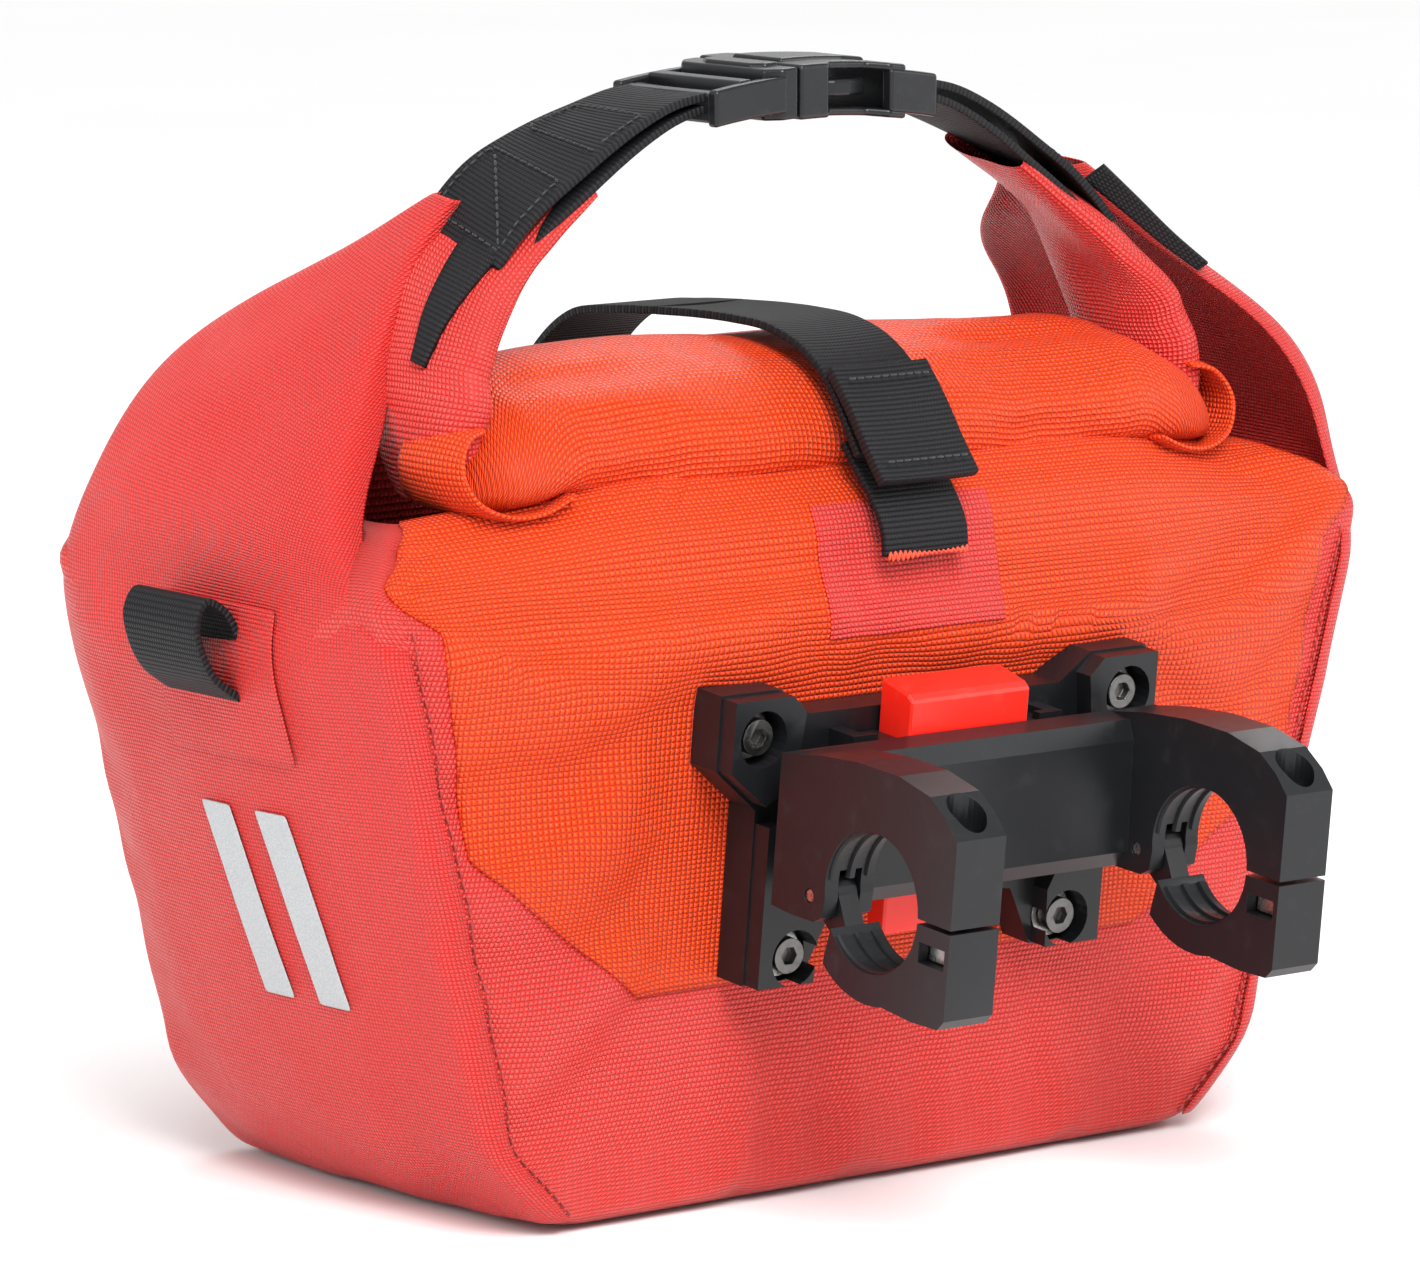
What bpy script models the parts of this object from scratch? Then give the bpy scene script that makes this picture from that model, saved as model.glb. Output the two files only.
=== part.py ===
"""Roll-top handlebar bag with a quick-release clamp mount.

Frame: origin at the middle of the flat bottom, +X to the right along the handlebar, -Y towards the
handlebar, +Z up. Sizes below are in millimetres and MM turns them into Blender's metres.
"""

import math

import bmesh
import bpy
from mathutils import Matrix, Vector

MM = 0.001
GAP = 0.35  # clearance between pieces that touch

# Bag: a tapered box whose rear wall leans over the handlebar side
WALL = 2.4
SHOULDER_Z, SHOULDER_HALF_WIDTH = 146, 146
MOUNT_TILT = 6.0  # degrees, lean of the rear wall and of the mount on it
FLAT_HALF_WIDTH = 66  # flat part of the rear wall behind the mount
SEAM_INSET = 6  # side seam, in from the bag's side edge
MOUTH_Z = 160.5

# Rolled closure and its stiffener
ROLL_Y, ROLL_Z = -20, 178
ROLL_HALF_DEPTH, ROLL_HALF_HEIGHT, ROLL_HALF_LENGTH = 34, 15.5, 90
STIFFENER = (20, 3)  # width and thickness

# Handle: both ends of the roll fold up and meet in the buckle
HANDLE_Y, BUCKLE_Z = -20, 250
WEBBING_WIDTH, WEBBING_THICK = 30, 2.2
TAIL_PIVOT_X, TAIL_PIVOT_Z = 142, 153
BUCKLE_WIDTH, BUCKLE_HEIGHT = 38, 12
BUCKLE_SPLIT_X, BUCKLE_HALF_LENGTH = -8, 33
PRONG_OFFSET, PRONG_THICK, PRONG_LENGTH = 12.5, 4, 23

# Closing strap over the roll
STRAP_WIDTH, STRAP_THICK = 30, 2

# Clamp mount, in its own tilted frame with the handlebar's axis as origin
BAR_Y, BAR_Z = -122, 80
BORE_R, CLAMP_SPACING, CLAMP_WIDTH = 15.9, 96.6, 14
PIN_Y, PIN_Z, PIN_R, KNUCKLE_R = 21.2, -3.7, 1.5, 5.2
SCREW_Y = -21.3
PLATE_FRONT, PLATE_BASE, PLATE_BACK = 42, 47, 57
PLATE_SCREWS = ((-54, 26.8), (54, 26.8), (-40.4, -25.3), (40.4, -25.3))
BACKING_THICK = 3
SLIDER_HALF_WIDTH, RAIL_INNER = 17.5, 27

ROUND = 24  # sides of a small round piece


# ---------------------------------------------------------------- scene and helpers
for old in list(bpy.data.objects):
    bpy.data.objects.remove(old, do_unlink=True)

scene = bpy.context.scene
parts = bpy.data.collections.new("roll_top_handlebar_bag")
cutters = bpy.data.collections.new("cutters")
scene.collection.children.link(parts)
scene.collection.children.link(cutters)
cutters.hide_render = True


def material(name, color, roughness, metallic=0.0):
    mat = bpy.data.materials.new(name)
    mat.use_nodes = True
    shader = mat.node_tree.nodes["Principled BSDF"]
    shader.inputs["Base Color"].default_value = (*color, 1)
    shader.inputs["Roughness"].default_value = roughness
    shader.inputs["Metallic"].default_value = metallic
    return mat


CORAL = material("coral_fabric", (0.85, 0.09, 0.07), 0.6)
ORANGE = material("orange_fabric", (0.95, 0.10, 0.01), 0.65)
WEBBING = material("black_webbing", (0.012, 0.012, 0.013), 0.8)
PLASTIC = material("black_plastic", (0.02, 0.021, 0.023), 0.45)
RED = material("red_plastic", (0.85, 0.015, 0.008), 0.35)
STEEL = material("steel", (0.35, 0.35, 0.34), 0.35, 1.0)
REFLECTIVE = material("reflective_film", (0.6, 0.62, 0.63), 0.4)


def empty(name, location, rotation=(0, 0, 0), parent=None):
    pivot = bpy.data.objects.new(name, None)
    pivot.location = Vector(location) * MM
    pivot.rotation_euler = rotation
    pivot.parent = parent
    parts.objects.link(pivot)
    return pivot


def finish_mesh(name, mesh, mat, parent, cutter=False):
    obj = bpy.data.objects.new(name, mesh)
    (cutters if cutter else parts).objects.link(obj)
    if cutter:
        obj.hide_render = True
        obj.display_type = "WIRE"
    else:
        mesh.materials.append(mat)
        mesh.shade_smooth()
        mesh.set_sharp_from_angle(angle=math.radians(35))
    obj.parent = parent
    return obj


def mesh_object(name, bm, mat=None, parent=None, cutter=False):
    """An object from a bmesh built in millimetres, in its parent's frame."""
    bmesh.ops.recalc_face_normals(bm, faces=bm.faces)
    bmesh.ops.transform(bm, matrix=Matrix.Diagonal((MM, MM, MM, 1)), verts=bm.verts)
    mesh = bpy.data.meshes.new(name)
    bm.to_mesh(mesh)
    bm.free()
    return finish_mesh(name, mesh, mat, parent, cutter)


AXES = {"X": ((0, 1, 0), (0, 0, 1), (1, 0, 0)), "Y": ((1, 0, 0), (0, 0, 1), (0, 1, 0)),
        "Z": ((1, 0, 0), (0, 1, 0), (0, 0, 1))}


def prism_bm(outline, along, low, high):
    """A flat outline pushed along an axis from low to high."""
    u, v, w = (Vector(axis) for axis in AXES[along])
    bm = bmesh.new()
    corners = [bm.verts.new(u * a + v * b + w * low) for a, b in outline]
    face = bm.faces.new(corners)
    pushed = bmesh.ops.extrude_face_region(bm, geom=[face])["geom"]
    moved = [item for item in pushed if isinstance(item, bmesh.types.BMVert)]
    bmesh.ops.translate(bm, verts=moved, vec=w * (high - low))
    return bm


def prism(name, outline, along, low, high, mat=None, parent=None, cutter=False):
    return mesh_object(name, prism_bm(outline, along, low, high), mat, parent, cutter)


def box(name, low, high, mat=None, parent=None, cutter=False):
    bm = bmesh.new()
    bmesh.ops.create_cube(bm, size=1)
    size = [b - a for a, b in zip(low, high)]
    middle = [(a + b) / 2 for a, b in zip(low, high)]
    bmesh.ops.scale(bm, vec=size, verts=bm.verts)
    bmesh.ops.translate(bm, vec=middle, verts=bm.verts)
    return mesh_object(name, bm, mat, parent, cutter)


def rod(name, centre, along, low, high, radius, mat=None, parent=None, cutter=False, sides=ROUND):
    """A round bar whose centre gives its place across the axis it runs along."""
    outline = [(centre[0] + radius * math.cos(a), centre[1] + radius * math.sin(a))
               for a in (math.tau * i / sides for i in range(sides))]
    return prism(name, outline, along, low, high, mat, parent, cutter)


def combine(obj, other, operation):
    step = obj.modifiers.new(f"{operation}_{other.name}", "BOOLEAN")
    step.operation = operation
    step.object = other
    step.solver = "EXACT"


def cut(obj, *others):
    for other in others:
        combine(obj, other, "DIFFERENCE")


def join(obj, *others):
    for other in others:
        combine(obj, other, "UNION")


def round_edges(obj, width, segments=2, angle=40):
    bevel = obj.modifiers.new("round_edges", "BEVEL")
    bevel.width = width * MM
    bevel.segments = segments
    bevel.limit_method = "ANGLE"
    bevel.angle_limit = math.radians(angle)


def arc(centre, radius, start, end, steps):
    angles = (math.radians(start + (end - start) * i / steps) for i in range(steps + 1))
    return [(centre[0] + radius * math.cos(a), centre[1] + radius * math.sin(a)) for a in angles]


def oval(centre, half_a, half_b, sides=20):
    angles = (math.tau * i / sides for i in range(sides))
    return [(centre[0] + half_a * math.cos(a), centre[1] + half_b * math.sin(a)) for a in angles]


def mirrored(outline):
    """The whole outline from its +X half, given from the top round to the bottom."""
    return outline + [(-a, b) for a, b in reversed(outline) if a > 0]


def smooth_step(value, low, high):
    t = min(max((value - low) / (high - low), 0), 1)
    return t * t * (3 - 2 * t)


def ribbon(name, path, across, width, thickness, mat, parent=None):
    """A flat band along a path; width and thickness are numbers or one value for each point.

    The path's points are (first, second) in the plane across the axis "X" or "Y"."""
    count = len(path)
    widths = width if isinstance(width, (list, tuple)) else [width] * count
    thicks = thickness if isinstance(thickness, (list, tuple)) else [thickness] * count
    side = Vector(AXES[across[0]][2])
    u, v = (Vector(AXES[across[0]][i]) for i in (0, 1))
    points = [u * a + v * b + side * across[1] for a, b in path]
    bm = bmesh.new()
    rings = []
    for i, point in enumerate(points):
        ahead = points[min(i + 1, count - 1)] - points[max(i - 1, 0)]
        out = side.cross(ahead.normalized())
        offsets = ((-1, -1), (1, -1), (1, 1), (-1, 1))
        rings.append([bm.verts.new(point + side * (s * widths[i] / 2) + out * (t * thicks[i] / 2))
                      for s, t in offsets])
    for first, second in zip(rings, rings[1:]):
        for k in range(4):
            bm.faces.new((first[k], first[(k + 1) % 4], second[(k + 1) % 4], second[k]))
    bm.faces.new(rings[0])
    bm.faces.new(reversed(rings[-1]))
    return mesh_object(name, bm, mat, parent)


# ---------------------------------------------------------------- bag
# Height, half width, rear edge, front edge, extra height of the front's middle
BAG_LEVELS = (
    (0, 90, -56, 56, 0),
    (3, 97, -60.5, 60.5, 0),
    (20, 114, -61.5, 62, 0),
    (47, 120.5, -62, 63, 0),
    (83, 130, -63, 64, 0),
    (115, 138, -63.5, 64.5, 0),
    (SHOULDER_Z, SHOULDER_HALF_WIDTH, -64, 65, 0),
    (152, 143, -62, 61, 12),
    (157.5, 134, -54, 48, 22),
    (160, 128, -45, 33, 27),
    (MOUTH_Z, 125, -41, 20, 26),
)


def rear_belly(x, z, edge_y, half_width):
    """The rear wall: a leaning plane behind the mount that fades into the bag's edges."""
    plane_z = min(max(z, 47), 140)
    plane_y = -61 - (plane_z - 47) * math.tan(math.radians(MOUNT_TILT))
    if z > SHOULDER_Z:
        plane_y = edge_y - 6 * (MOUTH_Z - z) / (MOUTH_Z - SHOULDER_Z)
    if z < 20:
        plane_y = edge_y
    fade = smooth_step(abs(x), FLAT_HALF_WIDTH, half_width - 8)
    return plane_y + (edge_y - plane_y) * fade


def bag_ring(level, inset):
    """Points round the bag at one level, pulled in by the inset."""
    z, half_width, rear, front, lift = level
    half_width -= inset
    rear += inset
    front -= inset
    spread = (-1, -0.84, -0.66, -0.45, 0, 0.45, 0.66, 0.84, 1)
    ring = []
    for s in spread:
        x = s * (half_width - 5)
        ring.append((x, rear_belly(x, z, rear - inset, half_width) + inset, z))
    for t in (0.08, 0.35, 0.65, 0.92):
        bulge = 2.5 * (1 - abs(2 * t - 1)) if 20 < z < SHOULDER_Z else 0
        ring.append((half_width + bulge, rear + t * (front - rear), z))
    for s in reversed(spread):
        x = s * (half_width - 5)
        rise = lift * (1 - smooth_step(abs(x), 70, 112))
        belly = 4 * (1 - s * s) if 20 < z < SHOULDER_Z else 0
        ring.append((x, front + belly, z + rise))
    for t in (0.92, 0.65, 0.35, 0.08):
        bulge = 2.5 * (1 - abs(2 * t - 1)) if 20 < z < SHOULDER_Z else 0
        ring.append((-half_width - bulge, rear + t * (front - rear), z))
    return ring


def bag_shell(name, mat=None, cutter=False):
    """The whole bag wall: an outer skin, an inner skin and the lip that joins them at the mouth."""
    bm = bmesh.new()
    outer = [[bm.verts.new(p) for p in bag_ring(level, 0)] for level in BAG_LEVELS]
    inner_levels = [(WALL, *BAG_LEVELS[1][1:])] + list(BAG_LEVELS[2:])
    inner = [[bm.verts.new(p) for p in bag_ring(level, WALL)] for level in inner_levels]
    count = len(outer[0])

    def skin(rings):
        for low, high in zip(rings, rings[1:]):
            for i in range(count):
                bm.faces.new((low[i], low[(i + 1) % count], high[(i + 1) % count], high[i]))

    skin(outer)
    skin(inner)
    skin([outer[-1], inner[-1]])
    bm.faces.new(outer[0])
    bm.faces.new(inner[0])
    return mesh_object(name, bm, mat, None, cutter)


def side_edge(z):
    """Half width of the bag's side edge at a height, up to its shoulder."""
    levels = [level for level in BAG_LEVELS if level[0] <= SHOULDER_Z]
    for low, high in zip(levels, levels[1:]):
        if z <= high[0]:
            return low[1] + (high[1] - low[1]) * (z - low[0]) / (high[0] - low[0])
    return levels[-1][1]


def side_cutter(name, side, grow):
    """Everything outside one side seam."""
    heights = (3, 20, 47, 83, 115, SHOULDER_Z, 152, 170)
    seam = [(side * (side_edge(z) - SEAM_INSET - grow), z) for z in heights]
    seam.insert(0, (seam[0][0] - side * 7, -5))
    return prism(name, seam + [(side * 200, 170), (side * 200, -5)], "Y", -90, 90, cutter=True)


def rear_cutter(name, grow):
    """Outline of the orange panel, seen from the handlebar."""
    half = [(0, 230), (139 + grow, 230), (139 + grow, 150), (130 + grow, 142), (121 + grow, 88),
            (74 + grow, 52 - grow), (0, 52 - grow)]
    return prism(name, mirrored(half), "Y", -120, -15 + grow, cutter=True)


def make_bag():
    wrap = bag_shell("body_wrap", CORAL)
    rear = bag_shell("rear_panel", ORANGE)
    sides = {-1: bag_shell("left_side_panel", CORAL), 1: bag_shell("right_side_panel", CORAL)}
    rear_shape = rear_cutter("rear_shape", 0)
    combine(rear, rear_shape, "INTERSECT")
    cut(wrap, rear_cutter("rear_shape_clear", GAP))
    for side, panel in sides.items():
        label = "left" if side < 0 else "right"
        shape = side_cutter(f"{label}_side_shape", side, 0)
        clear = side_cutter(f"{label}_side_clear", side, GAP)
        combine(panel, shape, "INTERSECT")
        cut(wrap, clear)
        cut(rear, clear)
    return rear


def make_roll():
    outline = oval((ROLL_Y, ROLL_Z), ROLL_HALF_DEPTH, ROLL_HALF_HEIGHT, 28)
    roll = prism("roll_top", outline, "X", -ROLL_HALF_LENGTH, ROLL_HALF_LENGTH, ORANGE)
    half_w, half_t = STIFFENER[0] / 2, STIFFENER[1] / 2
    sleeve = box("stiffener_sleeve", (-ROLL_HALF_LENGTH - 5, ROLL_Y - half_w - GAP, ROLL_Z - half_t - GAP),
                 (ROLL_HALF_LENGTH + 5, ROLL_Y + half_w + GAP, ROLL_Z + half_t + GAP), cutter=True)
    cut(roll, sleeve)
    box("roll_stiffener", (-ROLL_HALF_LENGTH + 4, ROLL_Y - half_w, ROLL_Z - half_t),
        (ROLL_HALF_LENGTH - 4, ROLL_Y + half_w, ROLL_Z + half_t), PLASTIC)


def make_handle_half(side):
    """One gable of the side fabric, the roll's tail and its webbing, on the fold line below them."""
    label = "left" if side < 0 else "right"
    pivot = empty(f"{label}_tail_pivot", (side * TAIL_PIVOT_X, HANDLE_Y, TAIL_PIVOT_Z))

    def local(points):
        return [(side * x - side * TAIL_PIVOT_X, z - TAIL_PIVOT_Z) for x, z in points]

    gable_path = local([(141.5, 156), (134, 166), (124, 180), (113, 195), (101, 211), (89, 228)])
    gable = ribbon(f"{label}_gable", gable_path, ("Y", 0), [118, 112, 98, 78, 56, 34], WALL, CORAL, pivot)
    drift = {0: 20, 1: 21, 2: 20, 3: 18, 4: 11, 5: 3}
    for index, vertex in enumerate(gable.data.vertices):
        vertex.co.y += drift[index // 4] * MM
    tail_path = local([(100, 169), (103, 181), (99, 200), (89, 214), (77, 225), (65, 233)])
    ribbon(f"{label}_tail", tail_path, ("Y", 0), [42, 42, 38, 34, 31, 28], [11, 10, 8, 6, 5, 4.5], CORAL, pivot)
    web_path = local([(93, 217.5), (81, 229.2), (66.5, 237.3), (51, 244.5), (37, 249)])
    ribbon(f"{label}_handle_webbing", web_path, ("Y", 0), WEBBING_WIDTH, WEBBING_THICK, WEBBING, pivot)
    return pivot


def make_buckle(left_pivot, right_pivot):
    def placed(x, y, z, side):
        return (x - side * TAIL_PIVOT_X, y, z + BUCKLE_Z - TAIL_PIVOT_Z)

    half_w, half_h = BUCKLE_WIDTH / 2, BUCKLE_HEIGHT / 2
    split, end = BUCKLE_SPLIT_X, BUCKLE_HALF_LENGTH
    male = box("buckle_male", placed(-end, -half_w, -half_h, -1), placed(split - GAP, half_w, half_h, -1),
               PLASTIC, left_pivot)
    for number, x in enumerate((-28.5, -19.5)):
        cut(male, box(f"male_slot_{number}", placed(x, -WEBBING_WIDTH / 2 - 0.7, -20, -1),
                      placed(x + 5, WEBBING_WIDTH / 2 + 0.7, 20, -1), None, left_pivot, True))
    blade = box("guide_blade", placed(split - 3, -3, -1.8, -1), placed(12, 3, 1.8, -1), None, left_pivot, True)
    join(male, blade)

    female = box("buckle_female", placed(split, -half_w, -half_h, 1), placed(end, half_w, half_h, 1),
                 PLASTIC, right_pivot)
    cavity = box("socket_cavity", placed(split - 5, -16.4, -4.3, 1), placed(21, 16.4, 4.3, 1), None, right_pivot, True)
    window = box("socket_window", placed(1, -30, -3.6, 1), placed(18, 30, 3.6, 1), None, right_pivot, True)
    slot = box("female_slot", placed(24, -15.7, -20, 1), placed(29, 15.7, 20, 1), None, right_pivot, True)
    cut(female, cavity, window, slot)

    for label, sign in (("front", -1), ("back", 1)):
        hinge = empty(f"{label}_prong_pivot", placed(split + 1, sign * PRONG_OFFSET, 0, -1), parent=left_pivot)
        outline = [(0.4, -1.5), (12, -1.6), (17, -2.2), (PRONG_LENGTH, -1), (PRONG_LENGTH - 1, 1.4),
                   (16, 3.2), (12, 2.6), (9, 1.2), (0.4, 1.2)]
        outline = [(x, sign * y) for x, y in outline]
        prism(f"{label}_prong", outline, "Z", -PRONG_THICK / 2, PRONG_THICK / 2, PLASTIC, hinge)


def make_strap():
    """The closing strap: its sewn end, the lifting flap with its tab, and the anchor on the bag."""
    back = [(71.5, 128), (70.5, 148), (66, 163), (55, 182), (40, 192.5), (24, 194.5), (8, 195.6)]
    ribbon("strap_base", back, ("X", 0), STRAP_WIDTH, STRAP_THICK, WEBBING)
    pivot = empty("strap_pivot", (0, 6, 195.6))
    flap = [(6.5, 195.8), (-20, 196.2), (-34, 195.4), (-45, 192.2), (-53.5, 187), (-59.5, 179), (-66, 169.5)]
    local = [(y - 6, z - 195.6) for y, z in flap]
    ribbon("strap_flap", local, ("X", 0), STRAP_WIDTH, STRAP_THICK, WEBBING, pivot)
    tab = [(y - 6, z - 195.6) for y, z in ((-57, 187.5), (-62.5, 180.5), (-72, 168.5), (-76.5, 163.5))]
    ribbon("pull_tab", tab, ("X", 0), STRAP_WIDTH + 2, STRAP_THICK, WEBBING, pivot)
    anchor = [(-73.3, 148), (-73.2, 153), (-69, 160), (-63, 165.5)]
    ribbon("strap_anchor", anchor, ("X", 0), 28, 1.8, WEBBING)
    lean = math.tan(math.radians(MOUNT_TILT))
    patch = [(-69.6 - GAP - 0.6, 131), (-69.6 - GAP - 0.6 - 9 * lean, 140)]
    ribbon("strap_patch", patch, ("X", 0), 54, 1, CORAL)


def make_side_trim(side):
    """Webbing loop, its patch and two reflective bars on one side panel."""
    label = "left" if side < 0 else "right"
    slope = math.atan2(32, 126)
    anchor_z = 118
    anchor_x = side_edge(anchor_z) + 2.2
    place = empty(f"{label}_trim", (side * anchor_x, 0, anchor_z), (0, side * slope, 0))
    box(f"{label}_loop_patch", (min(0.2 * side, 1.0 * side), -28, -12),
        (max(0.2 * side, 1.0 * side), 18, 26), CORAL, place)
    outer = oval((side * 7.7, 19), 6.2, 11)
    inner = oval((side * 7.7, 19), 4.5, 9.3)
    loop = prism(f"{label}_loop", outer, "Y", -14, 14, WEBBING, place)
    cut(loop, prism(f"{label}_loop_hole", inner, "Y", -20, 20, cutter=True, parent=place))
    for number, y in enumerate((-22, -2)):
        outline = [(y - 6, -70), (y + 5, -70), (y + 13, -24), (y + 2, -24)]
        prism(f"{label}_reflector_{number + 1}", outline, "X", min(side * 0.4, side), max(side * 0.4, side),
              REFLECTIVE, place)


# ---------------------------------------------------------------- mount
def make_bag_plate(mount, rear):
    half = [(0, 30), (37, 30), (46, 36.5), (63, 36.5), (63, 19), (51, 9), (51, -32), (34, -32),
            (27, -18), (0, -14)]
    plate = prism("bag_plate", mirrored(half), "Y", PLATE_BASE, PLATE_BACK, PLASTIC, mount)
    for side in (-1, 1):
        top = [(side * x, z) for x, z in ((46, 36), (62.5, 36), (62.5, 19.4), (52, 11), (44, 16), (42, 32))]
        low = [(side * x, z) for x, z in ((34.5, -31.6), (50.6, -31.6), (50.6, 6), (46, 6), (34, -18))]
        for number, pad in enumerate((top, low)):
            join(plate, prism(f"pad_{side}_{number}", pad, "Y", PLATE_FRONT, PLATE_BASE + 1, None, mount, True))
        rail = [(RAIL_INNER, PLATE_BASE + 1), (RAIL_INNER, 40.7), (RAIL_INNER - 3, 40.7), (RAIL_INNER - 3, 38.3),
                (RAIL_INNER + 4, 38.3), (RAIL_INNER + 4, PLATE_BASE + 1)]
        rail = [(side * x, y) for x, y in rail]
        join(plate, prism(f"rail_{side}", rail, "Z", -13, 26, None, mount, True))
    backing_half = [(0, 33), (60, 33), (60, 20), (47, 8), (47, -31), (0, -31)]
    backing_low = PLATE_BACK + GAP * 2 + WALL + 3.2
    backing = prism("backing_plate", mirrored(backing_half), "Y", backing_low, backing_low + BACKING_THICK,
                    PLASTIC, mount)
    for number, (x, z) in enumerate(PLATE_SCREWS, 1):
        recess = rod(f"screw_recess_{number}", (x, z), "Y", PLATE_FRONT - 5, 49, 6.6, None, mount, True)
        hole = rod(f"screw_hole_{number}", (x, z), "Y", PLATE_FRONT, 80, 2.8, None, mount, True, 16)
        cut(plate, recess, hole)
        cut(backing, hole)
        cut(rear, hole)
        washer = rod(f"plate_washer_{number}", (x, z), "Y", 47.6, 48.6, 5.6, STEEL, mount)
        cut(washer, hole)
        screw = rod(f"plate_screw_{number}", (x, z), "Y", 44, 47.25, 4.2, STEEL, mount)
        join(screw, rod(f"screw_shank_{number}", (x, z), "Y", 46.5, backing_low + 6.5, 2.4, None, mount, True, 16))
        socket = rod(f"screw_socket_{number}", (x, z), "Y", 43, 46, 2.2, None, mount, True, 6)
        cut(screw, socket)
        nut = rod(f"backing_nut_{number}", (x, z), "Y", backing_low + BACKING_THICK + GAP, backing_low + 6.8,
                  4.4, STEEL, mount, sides=6)
        cut(nut, hole)


def make_adapter(mount):
    """The part that stays on the handlebar: cross beam, slide block and two clamp arms."""
    beam_back = 34
    pivot = empty("adapter_slide", (0, 0, 0), parent=mount)
    half = CLAMP_SPACING / 2 + CLAMP_WIDTH / 2
    beam_side = [(25, 21), (27, 25.5), (beam_back, 26), (beam_back, -9), (27, -9), (24, -5)]
    beam = prism("adapter_body", beam_side, "X", -half, half, PLASTIC, pivot)
    for side in (-1, 1):
        leg = [(18.2, beam_back - 1), (23.5, beam_back - 1), (23.5, 41.1), (26.5, 41.1), (26.5, 46.4), (18.2, 46.4)]
        leg = [(side * x, y) for x, y in leg]
        join(beam, prism(f"slide_leg_{side}", leg, "Z", -8.8, 24.5, None, pivot, True))
        middle = side * CLAMP_SPACING / 2
        low, high = middle - CLAMP_WIDTH / 2, middle + CLAMP_WIDTH / 2
        arm = [(33, 26), (22, 28.3), (8, 30), (-6, 30.2), (-17, 28.2), (-23, 24.5), (-27, 20.5), (-27, 0.5)]
        arm += arc((0, 0), BORE_R, 178, -10, 26)
        arm += [(16.2, -7.5), (19, -9.2), (26.5, -9.4), (33, -9)]
        join(beam, prism(f"arm_{side}", arm, "X", low, high, None, pivot, True))
        slot = [(11.5, -1), (13.5, 3), (28.2, 3), (28.2, -14), (11.5, -14)]
        cut(beam, prism(f"knuckle_slot_{side}", slot, "X", middle - 3.2, middle + 3.2, None, pivot, True))
        cut(beam, rod(f"pin_hole_{side}", (PIN_Y, PIN_Z), "X", low - 1, high + 1, PIN_R + 0.12, None, pivot, True))
        cut(beam, rod(f"head_bore_{side}", (middle, SCREW_Y), "Z", 4.5, 40, 4.6, None, pivot, True))
        cut(beam, rod(f"shank_bore_{side}", (middle, SCREW_Y), "Z", -3, 10, 2.9, None, pivot, True))
        label = "left" if side < 0 else "right"
        rod(f"{label}_hinge_pin", (PIN_Y, PIN_Z), "X", low + 0.4, high - 0.4, PIN_R, STEEL, pivot)
        make_jaw(pivot, label, middle)
        make_clamp_screw(pivot, label, middle)
    ledge = box("spring_ledge", (-4, beam_back - 1, -3), (4, 39.2, 0), None, pivot, True)
    join(beam, ledge)
    return pivot


def make_jaw(parent, label, middle):
    """Lower half of one clamp, on the hinge pin behind the bore."""
    hinge = empty(f"{label}_jaw_pivot", (middle, PIN_Y, PIN_Z), parent=parent)

    def local(outline):
        return [(y - PIN_Y, z - PIN_Z) for y, z in outline]

    half = CLAMP_WIDTH / 2
    ring = arc((0, 0), BORE_R, 182, 325, 20) + [(14.6, -16.2)]
    ring += arc((0, 0), 23, -50, -105, 8) + [(-16, -22.8), (-25, -22.3), (-27, -20), (-27, -0.5)]
    jaw = prism(f"{label}_jaw", local(ring), "X", -half, half, PLASTIC, hinge)
    tongue = [(12.6, -10), (16.8, -1.6), (21, -1), (25.4, -6.4), (17, -12.5), (13.5, -15.5)]
    join(jaw, prism(f"{label}_tongue", local(tongue), "X", -2.7, 2.7, None, hinge, True))
    join(jaw, rod(f"{label}_knuckle", (0, 0), "X", -2.7, 2.7, KNUCKLE_R, None, hinge, True))
    cut(jaw, rod(f"{label}_knuckle_bore", (0, 0), "X", -9, 9, PIN_R + 0.12, None, hinge, True))
    screw_y = SCREW_Y - PIN_Y
    cut(jaw, rod(f"{label}_jaw_bore", (0, screw_y), "Z", -13 - PIN_Z, 5 - PIN_Z, 2.9, None, hinge, True, 16))
    cut(jaw, box(f"{label}_nut_pocket", (-10, screw_y - 4.3, -9 - PIN_Z), (4.4, screw_y + 4.3, -4.4 - PIN_Z),
                 None, hinge, True))
    nut = box(f"{label}_clamp_nut", (-4, screw_y - 4, -8.7 - PIN_Z), (4, screw_y + 4, -4.7 - PIN_Z), STEEL, hinge)
    cut(nut, rod(f"{label}_nut_bore", (0, screw_y), "Z", -20, 20, 2.7, None, hinge, True, 16))


def make_clamp_screw(parent, label, middle):
    pivot = empty(f"{label}_clamp_screw_slide", (middle, SCREW_Y, 0), parent=parent)
    screw = rod(f"{label}_clamp_screw", (0, 0), "Z", 13.4, 18.4, 4.1, STEEL, pivot)
    join(screw, rod(f"{label}_screw_shank", (0, 0), "Z", 1, 14, 2.4, None, pivot, True, 16))
    cut(screw, rod(f"{label}_screw_socket", (0, 0), "Z", 15.5, 20, 2.1, None, pivot, True, 6))


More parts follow.
